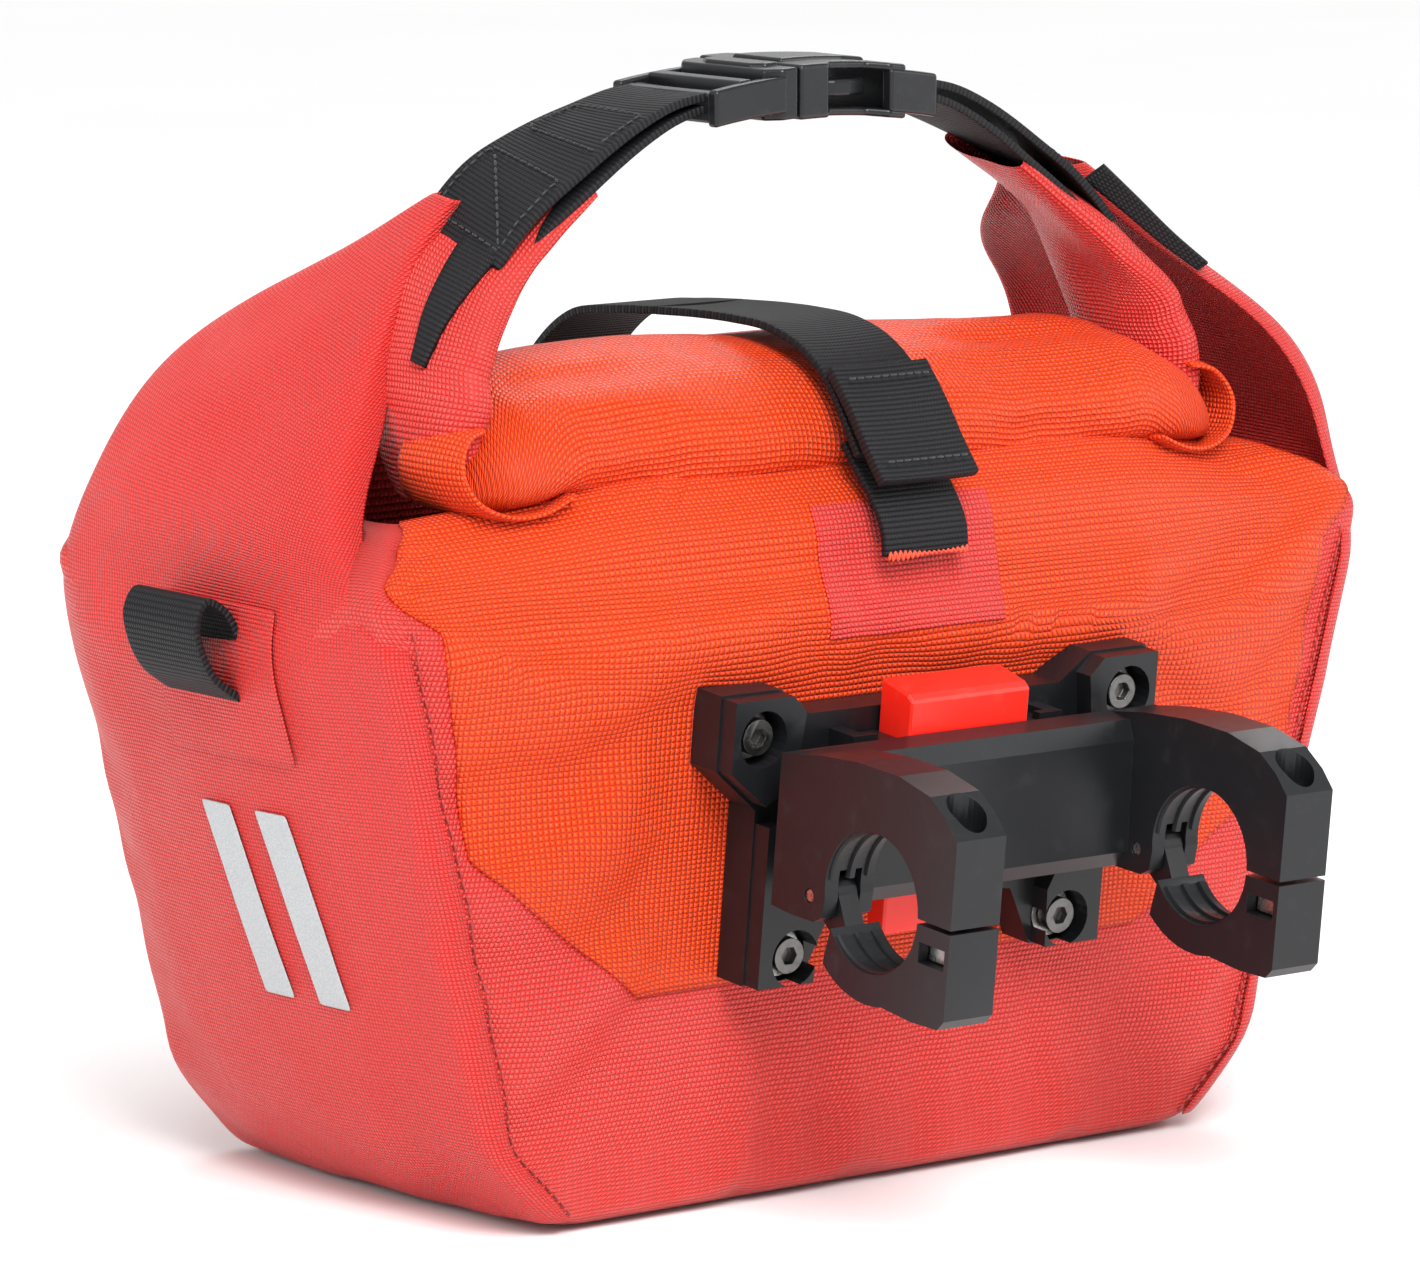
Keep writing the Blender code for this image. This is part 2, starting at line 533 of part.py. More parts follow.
def make_release(adapter):
    """Red slider: the button on top, the stem behind the beam and the latch below."""
    pivot = empty("release_slide", (0, 0, 0), parent=adapter)
    width = SLIDER_HALF_WIDTH
    side = [(34.8, 21.5), (34.8, 33.5), (36.5, 34.8), (46.2, 36.6), (46.2, -12), (45, -22), (39, -22),
            (39, -12), (40.2, -10), (40.2, 21.5)]
    slider = prism("release_button", side, "X", -width, width, RED, pivot)
    round_edges(slider, 0.5, 1)
    radius, wire, turns, steps = 1.7, 0.35, 8, 8
    spring = bpy.data.curves.new("release_spring", "CURVE")
    spring.dimensions = "3D"
    spring.bevel_depth = wire * MM
    spring.bevel_resolution = 0
    spring.use_fill_caps = True
    line = spring.splines.new("POLY")
    line.points.add(turns * steps)
    for i, point in enumerate(line.points):
        turn = math.tau * i / steps
        z = 0.7 + (20.4 - 0.7) * i / (turns * steps)
        point.co = (radius * math.cos(turn) * MM, (37.2 + radius * math.sin(turn)) * MM, z * MM, 1)
    coil = bpy.data.objects.new("release_spring", spring)
    spring.materials.append(STEEL)
    parts.objects.link(coil)
    coil.parent = adapter


rear_panel = make_bag()
make_roll()
tail_pivots = {side: make_handle_half(side) for side in (-1, 1)}
make_buckle(tail_pivots[-1], tail_pivots[1])
make_strap()
for side in (-1, 1):
    make_side_trim(side)
mount_frame = empty("mount_frame", (0, BAR_Y, BAR_Z), (math.radians(MOUNT_TILT), 0, 0))
bpy.context.view_layer.update()
make_bag_plate(mount_frame, rear_panel)
make_release(make_adapter(mount_frame))
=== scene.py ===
"""Looks of the roll-top handlebar bag: fabric, webbing, moulded plastic and studio.

Sizes are in millimetres in the CAD model's frame, and MM turns them into metres.
"""

import math

import bmesh
import bpy
import numpy as np
from mathutils import Matrix, Vector, noise
from mathutils.bvhtree import BVHTree


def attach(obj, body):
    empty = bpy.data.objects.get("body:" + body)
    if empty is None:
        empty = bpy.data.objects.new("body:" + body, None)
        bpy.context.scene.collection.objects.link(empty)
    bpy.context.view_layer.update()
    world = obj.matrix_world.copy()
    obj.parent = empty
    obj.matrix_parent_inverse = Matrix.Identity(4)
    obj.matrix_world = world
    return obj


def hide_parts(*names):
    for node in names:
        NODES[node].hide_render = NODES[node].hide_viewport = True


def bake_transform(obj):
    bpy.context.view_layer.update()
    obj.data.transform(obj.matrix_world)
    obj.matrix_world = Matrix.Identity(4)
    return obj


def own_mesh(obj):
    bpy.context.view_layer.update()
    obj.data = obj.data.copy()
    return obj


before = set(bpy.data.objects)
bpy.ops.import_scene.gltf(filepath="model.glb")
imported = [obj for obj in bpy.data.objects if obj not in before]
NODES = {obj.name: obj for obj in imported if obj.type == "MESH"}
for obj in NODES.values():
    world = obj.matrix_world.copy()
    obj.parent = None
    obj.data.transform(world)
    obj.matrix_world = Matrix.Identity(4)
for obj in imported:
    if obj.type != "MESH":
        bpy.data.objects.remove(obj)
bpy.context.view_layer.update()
MM = 0.001

# Soft shell: height, half width, rear edge, front edge, extra height of the front's middle
LEVELS = np.array((
    (0, 90, -56, 56, 0),
    (3, 97, -60.5, 60.5, 0),
    (20, 114, -61.5, 62, 0),
    (47, 120.5, -62, 63, 0),
    (83, 130, -63, 64, 0),
    (115, 138, -63.5, 64.5, 0),
    (146, 146, -64, 65, 0),
    (152, 143, -62, 61, 12),
    (157.5, 134, -54, 48, 22),
    (160, 128, -45, 33, 27),
    (160.5, 125, -41, 20, 26),
), float)
SHOULDER_Z = 146
SIDES = (("left", -1), ("right", 1))
TILT = math.radians(6)
BAR_Y, BAR_Z = -122, 80
BUCKLE_Y, BUCKLE_Z = -20, 250


# ---------------------------------------------------------------- curves and meshes
def smooth_step(value, low, high):
    t = np.clip((value - low) / (high - low), 0, 1)
    return t * t * (3 - 2 * t)


def distances(points):
    """How far along the path each of its points lies."""
    return np.r_[0, np.cumsum(np.linalg.norm(np.diff(points, axis=0), axis=1))]


def curve_through(points, count):
    """Evenly spaced points of a smooth curve through the given ones."""
    points = np.array(points, float)
    steps = distances(points)
    slopes = np.gradient(points, steps, axis=0)
    where = np.linspace(0, steps[-1], count)
    left = np.clip(np.searchsorted(steps, where, side="right") - 1, 0, len(points) - 2)
    span = (steps[left + 1] - steps[left])[:, None]
    t = (where - steps[left])[:, None] / span
    a, b = points[left], points[left + 1]
    m, n = slopes[left] * span, slopes[left + 1] * span
    return ((2 * t ** 3 - 3 * t ** 2 + 1) * a + (t ** 3 - 2 * t ** 2 + t) * m
            + (-2 * t ** 3 + 3 * t ** 2) * b + (t ** 3 - t ** 2) * n)


def directions(vectors):
    """Vectors shortened to a length of one; those under 1 mm stay as they are."""
    return vectors / np.maximum(np.linalg.norm(vectors, axis=1, keepdims=True), 1)


def wobble(point, scale, seed):
    """Smooth noise between about -1 and 1, with features of the given size in millimetres."""
    return noise.noise(Vector((point[0] / scale + seed, point[1] / scale, point[2] / scale)))


def crease(points, start, end, width, depth):
    """Depth at each point of a soft crease along a straight line in space, fading at its ends."""
    start, end = np.array(start, float), np.array(end, float)
    along = end - start
    t = np.clip((points - start) @ along / (along @ along), 0, 1)
    away = np.linalg.norm(points - (start + t[..., None] * along), axis=-1)
    return depth * np.exp(-(away / width) ** 2) * np.sin(np.pi * np.clip(t, 0.06, 0.94)) ** 0.5


def add_object(name, data):
    obj = bpy.data.objects.new(name, data)
    bpy.context.scene.collection.objects.link(obj)
    return obj


def add_mesh(name, points, faces, mat, uvs=None):
    mesh = bpy.data.meshes.new(name)
    mesh.from_pydata([tuple(p) for p in np.asarray(points) * MM], [], faces)
    mesh.materials.append(mat)
    if uvs is not None:
        layer = mesh.uv_layers.new(name="fabric")
        corners = [uv for face_uvs in uvs for uv in face_uvs]
        layer.data.foreach_set("uv", np.array(corners, float).ravel() * MM)
    mesh.shade_smooth()
    return add_object(name, mesh)


def grid(name, rows, mat, wrap=False, turn=False):
    """A sheet through rows of points; its UVs are distances along the cloth in millimetres."""
    rows = np.array(rows, float)
    high, wide = rows.shape[:2]
    if wrap:
        looped = np.concatenate([rows, rows[:, :1]], axis=1)
    else:
        looped = rows
    across = np.linalg.norm(np.diff(looped, axis=1), axis=2)
    middle = across.shape[1] // 2
    us = np.concatenate([np.zeros((high, 1)), np.cumsum(across, axis=1)], axis=1)
    us = us - us[:, middle:middle + 1]
    lengths = np.linalg.norm(np.diff(looped, axis=0), axis=2).mean(axis=1)
    vs = np.r_[0, np.cumsum(lengths)]
    faces, uvs = [], []
    for j in range(high - 1):
        for i in range(looped.shape[1] - 1):
            k = (i + 1) % wide
            corners = [(j, i, i), (j, k, i + 1), (j + 1, k, i + 1), (j + 1, i, i)]
            if turn:
                corners.reverse()
            faces.append([row * wide + column for row, column, _ in corners])
            uvs.append([(us[row, place], vs[row]) for row, _, place in corners])
    return add_mesh(name, rows.reshape(-1, 3), faces, mat, uvs)


def add_modifier(obj, kind, **values):
    step = obj.modifiers.new(kind.lower(), kind)
    for key, value in values.items():
        setattr(step, key, value)
    return step


def thicken(obj, thickness, smooth=True):
    """Gives a sheet its thickness, inwards from its outer face."""
    add_modifier(obj, "SOLIDIFY", thickness=thickness * MM, offset=-1, use_even_offset=True)
    if smooth:
        add_modifier(obj, "SUBSURF", levels=1, render_levels=1)


def ribbon_rows(path, side, width, columns, crown=0.0):
    """Rows across a band that follows a path; side is the band's direction across."""
    path = np.array(path, float)
    side = np.broadcast_to(np.array(side, float), path.shape)
    side = side / np.linalg.norm(side, axis=1, keepdims=True)
    width = np.broadcast_to(np.asarray(width, float), (len(path),))
    ahead = np.gradient(path, axis=0)
    out = np.cross(side, ahead)
    out /= np.linalg.norm(out, axis=1)[:, None]
    s = np.linspace(-0.5, 0.5, columns)
    rise = crown * (1 - (2 * s) ** 2)
    return (path[:, None] + side[:, None] * (s[None, :, None] * width[:, None, None])
            + out[:, None] * rise[None, :, None])


def mount_point(x, y, z):
    """A point given in the clamp mount's tilted frame."""
    return (x, BAR_Y + y * math.cos(TILT) - z * math.sin(TILT),
            BAR_Z + y * math.sin(TILT) + z * math.cos(TILT))


# ---------------------------------------------------------------- materials
WEFT, RIB = 0.9, 1.25


class Nodes:
    """A short way to write a node tree."""

    def __init__(self, name, roughness, metallic=0.0, sheen=0.0, coat=0.0, specular=0.5):
        self.mat = bpy.data.materials.new(name)
        self.mat.use_nodes = True
        self.tree = self.mat.node_tree
        self.shader = self.tree.nodes["Principled BSDF"]
        settings = {"Roughness": roughness, "Metallic": metallic, "Sheen Weight": sheen,
                    "Sheen Roughness": 0.4, "Coat Weight": coat, "Coat Roughness": 0.25,
                    "Specular IOR Level": specular, "IOR": 1.5}
        for socket, value in settings.items():
            self.shader.inputs[socket].default_value = value
        self.place = self.tree.nodes.new("ShaderNodeTexCoord")

    def link(self, source, target):
        self.tree.links.new(source, target)

    def value(self, target, given):
        if isinstance(given, bpy.types.NodeSocket):
            self.link(given, target)
        else:
            target.default_value = given

    def math(self, operation, a, b=0.0):
        node = self.tree.nodes.new("ShaderNodeMath")
        node.operation = operation
        self.value(node.inputs[0], a)
        self.value(node.inputs[1], b)
        return node.outputs[0]

    def times(self, a, b):
        return self.math("MULTIPLY", a, b)

    def plus(self, a, b):
        return self.math("ADD", a, b)

    def mix(self, factor, a, b):
        node = self.tree.nodes.new("ShaderNodeMix")
        node.data_type = "RGBA"
        self.value(node.inputs["Factor"], factor)
        for socket, given in ((node.inputs[6], a), (node.inputs[7], b)):
            self.value(socket, given if isinstance(given, bpy.types.NodeSocket) else (*given, 1))
        return node.outputs[2]

    def noise(self, scale, detail=3.0, roughness=0.5):
        node = self.tree.nodes.new("ShaderNodeTexNoise")
        node.inputs["Scale"].default_value = scale
        node.inputs["Detail"].default_value = detail
        node.inputs["Roughness"].default_value = roughness
        self.link(self.place.outputs["Object"], node.inputs["Vector"])
        return node.outputs["Fac"]

    def ramp(self, source, low, high, out_low=0.0, out_high=1.0):
        node = self.tree.nodes.new("ShaderNodeMapRange")
        node.inputs["From Min"].default_value = low
        node.inputs["From Max"].default_value = high
        node.inputs["To Min"].default_value = out_low
        node.inputs["To Max"].default_value = out_high
        self.link(source, node.inputs["Value"])
        return node.outputs[0]

    def fabric_uv(self, scale_u, scale_v):
        """The two directions of the cloth, each counted in threads times pi."""
        node = self.tree.nodes.new("ShaderNodeVectorMath")
        node.operation = "MULTIPLY"
        node.inputs[1].default_value = (math.pi / (scale_u * MM), math.pi / (scale_v * MM), 1)
        self.link(self.place.outputs["UV"], node.inputs[0])
        split = self.tree.nodes.new("ShaderNodeSeparateXYZ")
        self.link(node.outputs[0], split.inputs[0])
        return split.outputs[0], split.outputs[1]

    def bump(self, height, distance, strength):
        node = self.tree.nodes.new("ShaderNodeBump")
        node.inputs["Strength"].default_value = strength
        node.inputs["Distance"].default_value = distance * MM
        self.link(height, node.inputs["Height"])
        previous = self.shader.inputs["Normal"].links
        if previous:
            self.link(previous[0].from_socket, node.inputs["Normal"])
        self.link(node.outputs[0], self.shader.inputs["Normal"])


def woven(name, light, dark, thread, depth, roughness, sheen=0.0):
    """Coated plain weave: humps where threads cross, with painted shade in the hollows between them
    and the warp painted a little lighter than the weft as a painted highlight.
    """
    made = Nodes(name, roughness, sheen=sheen, coat=0.04, specular=0.36)
    u, v = made.fabric_uv(thread, thread)
    drift = made.noise(700, 2)
    u = made.plus(u, made.times(drift, 0.9))
    cross = made.times(made.math("SINE", u), made.math("SINE", v))
    hump = made.math("POWER", made.math("ABSOLUTE", cross), 0.6)
    over = made.ramp(cross, -0.6, 0.6)
    # painted shade: the colour darkens from the humps' tops into the hollows between threads, and
    # the warp's humps get a painted highlight
    shade = made.times(hump, made.ramp(over, 0, 1, 0.72, 1.0))
    cloth = made.mix(shade, dark, light)
    patchy = made.ramp(made.noise(26, 4, 0.6), 0.3, 0.7)
    worn = made.mix(made.times(patchy, 0.22), cloth, tuple(0.72 * c for c in light))
    made.link(worn, made.shader.inputs["Base Color"])
    gloss = made.plus(made.ramp(made.noise(90, 3), 0.3, 0.7, -0.07, 0.07), roughness)
    made.link(made.math("SUBTRACT", gloss, made.times(hump, 0.1)),
              made.shader.inputs["Roughness"])
    made.bump(hump, depth, 1.0)
    made.bump(made.noise(60, 4, 0.6), 0.5, 0.35)
    return made.mat


def webbing(name, light, dark):
    """Ribbed belt: ribs across the band, broken into small knuckles, with painted shade between
    them.
    """
    made = Nodes(name, 0.62, specular=0.25)
    u, v = made.fabric_uv(WEFT, RIB)
    ribs = made.math("ABSOLUTE", made.math("SINE", v))
    row = made.math("FLOOR", made.math("DIVIDE", v, math.pi))
    knuckles = made.math("ABSOLUTE", made.math("SINE", made.plus(u, made.times(row, math.pi / 2))))
    height = made.times(made.math("POWER", ribs, 0.7), made.ramp(knuckles, 0, 1, 0.55, 1))
    # painted shade: the band's colour darkens from the ribs' tops into the grooves between ribs and
    # knuckles
    cloth = made.mix(height, dark, light)
    fuzz = made.ramp(made.noise(900, 2), 0.35, 0.75)
    cloth = made.mix(made.times(fuzz, 0.35), cloth, light)
    made.link(cloth, made.shader.inputs["Base Color"])
    made.link(made.ramp(height, 0, 1, 0.8, 0.5), made.shader.inputs["Roughness"])
    made.bump(height, 0.4, 0.9)
    return made.mat


def moulded(name, base, worn, roughness, grain=0.05, coat=0.0):
    """Moulded plastic: fine texture, uneven gloss and faint scuffs."""
    made = Nodes(name, roughness, coat=coat, specular=0.35)
    scuffs = made.ramp(made.noise(160, 6, 0.7), 0.56, 0.78)
    cloudy = made.ramp(made.noise(22, 3), 0.3, 0.7)
    colour = made.mix(made.times(scuffs, 0.4), base, worn)
    colour = made.mix(made.times(cloudy, 0.25), colour, tuple(0.7 * c for c in base))
    made.link(colour, made.shader.inputs["Base Color"])
    gloss = made.plus(made.ramp(cloudy, 0, 1, -0.05, 0.06), roughness)
    made.link(made.plus(gloss, made.times(scuffs, 0.12)),
              made.shader.inputs["Roughness"])
    made.bump(made.noise(1500, 3, 0.6), grain, 0.5)
    made.bump(made.noise(60, 2), 0.25, 0.15)
    return made.mat


def metal(name, colour, roughness):
    """Plated steel with fine turning marks and a few dull spots."""
    made = Nodes(name, roughness, metallic=1.0)
    spots = made.ramp(made.noise(500, 5, 0.7), 0.5, 0.72)
    made.link(made.mix(made.times(spots, 0.5), colour, tuple(0.45 * c for c in colour)),
              made.shader.inputs["Base Color"])
    made.link(made.ramp(made.noise(1200, 3), 0.3, 0.7, roughness - 0.08, roughness + 0.12),
              made.shader.inputs["Roughness"])
    made.bump(made.noise(2200, 2), 0.02, 0.5)
    return made.mat


def reflective(name):
    """Printed reflective film: tiny beads and a faint crinkle."""
    made = Nodes(name, 0.38, coat=0.1)
    beads = made.ramp(made.noise(2600, 2, 0.7), 0.4, 0.6)
    crinkle = made.noise(120, 4, 0.6)
    colour = made.mix(beads, (0.30, 0.32, 0.33), (0.42, 0.44, 0.45))
    made.link(made.mix(made.times(crinkle, 0.3), colour, (0.50, 0.52, 0.53)),
              made.shader.inputs["Base Color"])
    made.link(made.ramp(crinkle, 0.3, 0.7, 0.3, 0.46), made.shader.inputs["Roughness"])
    made.bump(beads, 0.03, 0.4)
    made.bump(crinkle, 0.2, 0.3)
    return made.mat


def thread_look(name, light, dark):
    """Sewing thread: two strands twisted together."""
    made = Nodes(name, 0.55, sheen=0.2)
    twist = made.noise(1800, 2)
    made.link(made.mix(twist, dark, light), made.shader.inputs["Base Color"])
    made.bump(twist, 0.1, 0.8)
    return made.mat


# colour of the threads' tops and of the painted shade between them, thread width, depth of the
# weave, roughness, sheen
CORAL = woven("coral_coated_weave", (0.92, 0.046, 0.040), (0.58, 0.016, 0.013),
              0.95, 0.62, 0.42, 0.03)
CORAL_COARSE = woven("coral_coarse_weave", (0.95, 0.066, 0.054), (0.56, 0.018, 0.014),
                     1.2, 0.66, 0.42, 0.03)
ORANGE = woven("orange_coated_weave", (0.98, 0.074, 0.0), (0.64, 0.02, 0.0), 1.4, 0.7, 0.46, 0.02)
BLACK_WEBBING = webbing("black_ribbed_webbing", (0.010, 0.010, 0.012), (0.0012, 0.0012, 0.0015))
PLASTIC = moulded("black_moulded_plastic", (0.0075, 0.008, 0.0095), (0.03, 0.031, 0.034), 0.36)
BUCKLE_PLASTIC = moulded("glossy_buckle_plastic", (0.008, 0.0085, 0.01), (0.035, 0.035, 0.04),
                         0.26, 0.03, 0.15)
RED_PLASTIC = moulded("red_button_plastic", (0.86, 0.018, 0.008), (0.95, 0.08, 0.05),
                      0.34, 0.03, 0.2)
STEEL = metal("plated_steel", (0.42, 0.41, 0.39), 0.3)
DARK_STEEL = metal("oiled_steel", (0.16, 0.155, 0.15), 0.36)
FILM = reflective("reflective_film")
RED_THREAD = thread_look("dark_red_thread", (0.5, 0.03, 0.025), (0.2, 0.01, 0.01))
ORANGE_THREAD = thread_look("orange_thread", (0.95, 0.09, 0.02), (0.6, 0.03, 0.01))
BLACK_THREAD = thread_look("black_thread", (0.03, 0.03, 0.032), (0.006, 0.006, 0.007))

# ---------------------------------------------------------------- soft shell of the bag
CORNER = 5
BOTTOM_RINGS = (0.02, 0.25, 0.5, 0.75, 0.92, 1)
# columns of the shell's grid at its four upright edges, held in the simulation
CORNER_COLUMNS = (52, 54, 78, 80, 133, 135, 159, 161)
SETTLE_FRAMES, SETTLE_CAP = 14, 3.2
# how far the full cloth under the roll stands out backwards, and how far it rises
FULL_REACH, FULL_RISE = 8, 6


def level_at(z):
    return [float(np.interp(z, LEVELS[:, 0], LEVELS[:, k])) for k in range(1, 5)]


def rear_y(x, z):
    """The rear wall: a leaning plane behind the mount that fades into the bag's edges."""
    half, rear, _, _ = level_at(z)
    plane = -61 - (min(max(z, 47), 140) - 47) * math.tan(TILT)
    if z > SHOULDER_Z:
        plane = rear - 6 * (LEVELS[-1, 0] - z) / (LEVELS[-1, 0] - SHOULDER_Z)
    if z < 20:
        plane = rear
    fade = smooth_step(abs(x), 66, half - 8)
    return plane + (rear - plane) * fade - FULL_REACH * rear_fullness(x, z)


def rear_fullness(x, z):
    """How far the cloth stands up against the roll: most in the middle, none at the ends."""
    return float(1 - smooth_step(abs(x), 66, 128)) * float(smooth_step(z, 147, 158))


def corner_arc(x, y, start):
    angles = np.radians(start + np.array((22.5, 45, 67.5)))
    return [(x + CORNER * math.cos(a), y + CORNER * math.sin(a)) for a in angles]


def shell_ring(z, shrink=1.0):
    """Points round the bag at one height: rear, right side, front, left side."""
    half, rear, front, lift = level_at(z)
    swell = 2.5 if 20 < z < SHOULDER_Z else 0
    belly = 4 if 20 < z < SHOULDER_Z else 0
    xs = np.linspace(-(half - CORNER), half - CORNER, 53)
    ts = np.linspace(0, 1, 23)
    ys = rear + CORNER + ts * (front - rear - 2 * CORNER)
    bow = swell * (1 - (2 * ts - 1) ** 2)
    ring = [(x, rear_y(x, z), FULL_RISE * rear_fullness(x, z)) for x in xs]
    ring += [(x, y, 0) for x, y in corner_arc(half - CORNER, rear + CORNER, -90)]
    ring += [(half + b, y, 0) for y, b in zip(ys, bow)]
    ring += [(x, y, 0) for x, y in corner_arc(half - CORNER, front - CORNER, 0)]
    ring += [(x, front + belly * (1 - (x / half) ** 2),
              lift * (1 - float(smooth_step(abs(x), 76, 118)))) for x in xs[::-1]]
    ring += [(x, y, 0) for x, y in corner_arc(-(half - CORNER), front - CORNER, 90)]
    ring += [(-half - b, y, 0) for y, b in zip(ys[::-1], bow)]
    ring += [(x, y, 0) for x, y in corner_arc(-(half - CORNER), rear + CORNER, 180)]
    return [(x * shrink, y * shrink, z + rise) for x, y, rise in ring]


def relax(rows):
    """Softens the shell's grid by averaging neighbours, apart from the bottom's rings."""
    for _ in range(2):
        around = (np.roll(rows, 1, axis=1) + np.roll(rows, -1, axis=1)) / 2
        updown = rows.copy()
        updown[1:-1] = (rows[:-2] + rows[2:]) / 2
        soft = rows * 0.5 + around * 0.25 + updown * 0.25
        soft[:len(BOTTOM_RINGS) - 1] = rows[:len(BOTTOM_RINGS) - 1]
        rows = soft
    return rows


def settle(obj, weights):
    """Lets the sewn shell sag and pucker, within a cap on how far a point moves."""
    start = np.array([v.co for v in obj.data.vertices])
    group = obj.vertex_groups.new(name="held")
    for index, weight in enumerate(weights):
        group.add([index], float(weight), "REPLACE")
    cloth = obj.modifiers.new("cloth", "CLOTH")
    setup = cloth.settings
    setup.quality = 4
    setup.mass = 0.25
    setup.tension_stiffness = 25
    setup.compression_stiffness = 25
    setup.bending_stiffness = 0.8
    setup.vertex_group_mass = "held"
    setup.use_pressure = True
    setup.uniform_pressure_force = 0.35
    setup.shrink_min = -0.025
    cloth.collision_settings.use_self_collision = False
    scene = bpy.context.scene
    for number in range(1, SETTLE_FRAMES + 1):
        scene.frame_set(number)
    graph = bpy.context.evaluated_depsgraph_get()
    posed = obj.evaluated_get(graph).to_mesh()
    moved = np.array([v.co for v in posed.vertices])
    obj.evaluated_get(graph).to_mesh_clear()
    obj.modifiers.remove(cloth)
    scene.frame_set(1)
    step = moved - start
    size = np.linalg.norm(step, axis=1, keepdims=True)
    step *= np.minimum(1, SETTLE_CAP * MM / np.maximum(size, 1e-9))
    obj.data.vertices.foreach_set("co", (start + step).astype(np.float32).ravel())
    obj.data.update()


def make_shell():
    """The body's shell, from the middle of its bottom up to the mouth under the roll."""
    rows = [shell_ring(0, size) for size in BOTTOM_RINGS]
    heights = [1.2, 3, 6, 10, 15, 20] + list(np.arange(25.5, 146, 5.48)) + [146, 148, 150, 152]
    heights += [154, 156, 157.5, 158.7, 159.4, 160, 160.25, 160.5]
    rows += [shell_ring(z) for z in heights]
    rows = relax(np.array(rows))
    flat = rows.reshape(-1, 3)
    upper = flat[:, 2] > 4
    soft = np.array([wobble(p, 55, 3) * 0.9 + wobble(p, 23, 9) * 0.35 for p in flat])
    mount_zone = ((flat[:, 1] < -55) & (np.abs(flat[:, 0]) < 72) & (flat[:, 2] > 40)
                  & (flat[:, 2] < 122))
    soft[mount_zone] *= 0.1
    outward = directions(flat * (1, 1, 0))
    dents = np.zeros(len(flat))
    for side in (-1, 1):
        for start, end, width, depth in SHELL_CREASES:
            a = (side * start[0], start[1], start[2])
            b = (side * end[0], end[1], end[2])
            dents += crease(flat, a, b, width, depth)
    flat = flat + outward * ((soft * upper) - dents)[:, None]
    shell = grid("bag_body", flat.reshape(rows.shape), CORAL_COARSE, wrap=True)
    high, wide = rows.shape[:2]
    weights = np.zeros((high, wide))
    column = np.arange(wide)
    for place in CORNER_COLUMNS:
        weights = np.maximum(weights, np.exp(-((column - place % wide) / 1.2) ** 2)[None, :] * 0.9)
    weights[:7] = 1
    weights[-4:] = 1
    weights = weights.ravel()
    weights[mount_zone] = 1
    settle(shell, weights)
    bpy.context.view_layer.update()
    return shell


# start, end, width and depth of the soft folds on both sides of the shell
SHELL_CREASES = (
    ((128, -60, 150), (84, -66, 128), 5, 2.2),
    ((122, -62, 118), (96, -64, 66), 8, 1.5),
    ((108, -62, 44), (60, -62, 30), 6, 1.4),
    ((144, 30, 140), (132, 36, 90), 9, 1.8),
    ((140, -30, 120), (124, -22, 50), 10, 1.2),
    ((60, -66, 134), (20, -68, 140), 5, 0.8),
    ((110, 62, 128), (70, 66, 60), 9, 1.6),
)

body = make_shell()
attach(body, "bag")
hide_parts("body_wrap")
add_modifier(body, "SUBSURF", levels=1, render_levels=1)
shell_tree = BVHTree.FromObject(body, bpy.context.evaluated_depsgraph_get())


def laid_on(rows, lift):
    """Rows of points moved onto the shell, and lifted off it by the cloth's thickness."""
    placed = np.array(rows, float)
    flat = placed.reshape(-1, 3)
    for index, point in enumerate(flat):
        spot, normal, _, _ = shell_tree.find_nearest(Vector(point) * MM)
        if normal.dot(Vector(point) - Vector((0, 0, 85))) < 0:
            normal = -normal
        flat[index] = np.array(spot) / MM + np.array(normal) * lift
    return placed


# ---------------------------------------------------------------- orange rear panel
# the panel's half width at some heights
PANEL_HEIGHTS = (52, 88, 139, 146, 149, 152, 157.5, 160.5)
PANEL_HALVES = (74, 121, 130, 139, 141, 141.5, 132.5, 124)
PANEL_THICKNESS = 0.9


def make_rear_panel():
    """The orange panel: its lower corners are cut to a slant, its top runs under the roll."""
    heights = list(np.linspace(52, 146, 42)) + list(np.linspace(147, 158, 10))
    heights += [158.7, 159.4, 160, 160.3, 160.5]
    rows = []
    for z in heights:
        half = min(float(np.interp(z, PANEL_HEIGHTS, PANEL_HALVES)), level_at(z)[0] - 1.5)
        rows.append([(x, rear_y(x, z), z + FULL_RISE * rear_fullness(x, z))
                     for x in np.linspace(-half, half, 111)])
    panel = grid("rear_panel_cloth", laid_on(rows, PANEL_THICKNESS), ORANGE)
    thicken(panel, PANEL_THICKNESS, smooth=False)
    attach(panel, "bag")
    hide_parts("rear_panel")


make_rear_panel()


# ---------------------------------------------------------------- side panels and their gables
# how far a side panel laps over the rear and the front, and the rear and front edges of its gable
PANEL_LAP = 6
GABLE_REAR = {
    -1: ((146, -62, 147), (142, -45, 155), (135, -37, 166), (126.5, -30, 177), (112, -19, 197),
         (99, -15, 214), (88, -15, 228)),
    1: ((146, -63, 147), (147, -61, 158), (144, -59, 173), (137, -56, 185), (125, -50, 197),
        (111, -38, 209), (91, -26, 227)),
}
GABLE_FRONT = ((148, 64, 150), (145, 58, 163), (130, 46, 192), (116, 39, 202), (105, 24, 211),
               (95, 6, 221), (87, -6, 229))


def side_arc(z):
    """Points across one side panel at one height, from its rear seam round to its front seam."""
    half, rear, front, _ = level_at(z)
    line = [(half - PANEL_LAP, rear)] + corner_arc(half - CORNER, rear + CORNER, -90)
    line += [(half + (2.5 if 20 < z < SHOULDER_Z else 0) * math.sin(math.pi * t),
              rear + CORNER + t * (front - rear - 2 * CORNER)) for t in np.linspace(0, 1, 15)]
    line += corner_arc(half - CORNER, front - CORNER, 0) + [(half - PANEL_LAP, front)]
    return [(x, y, z) for x, y in line]


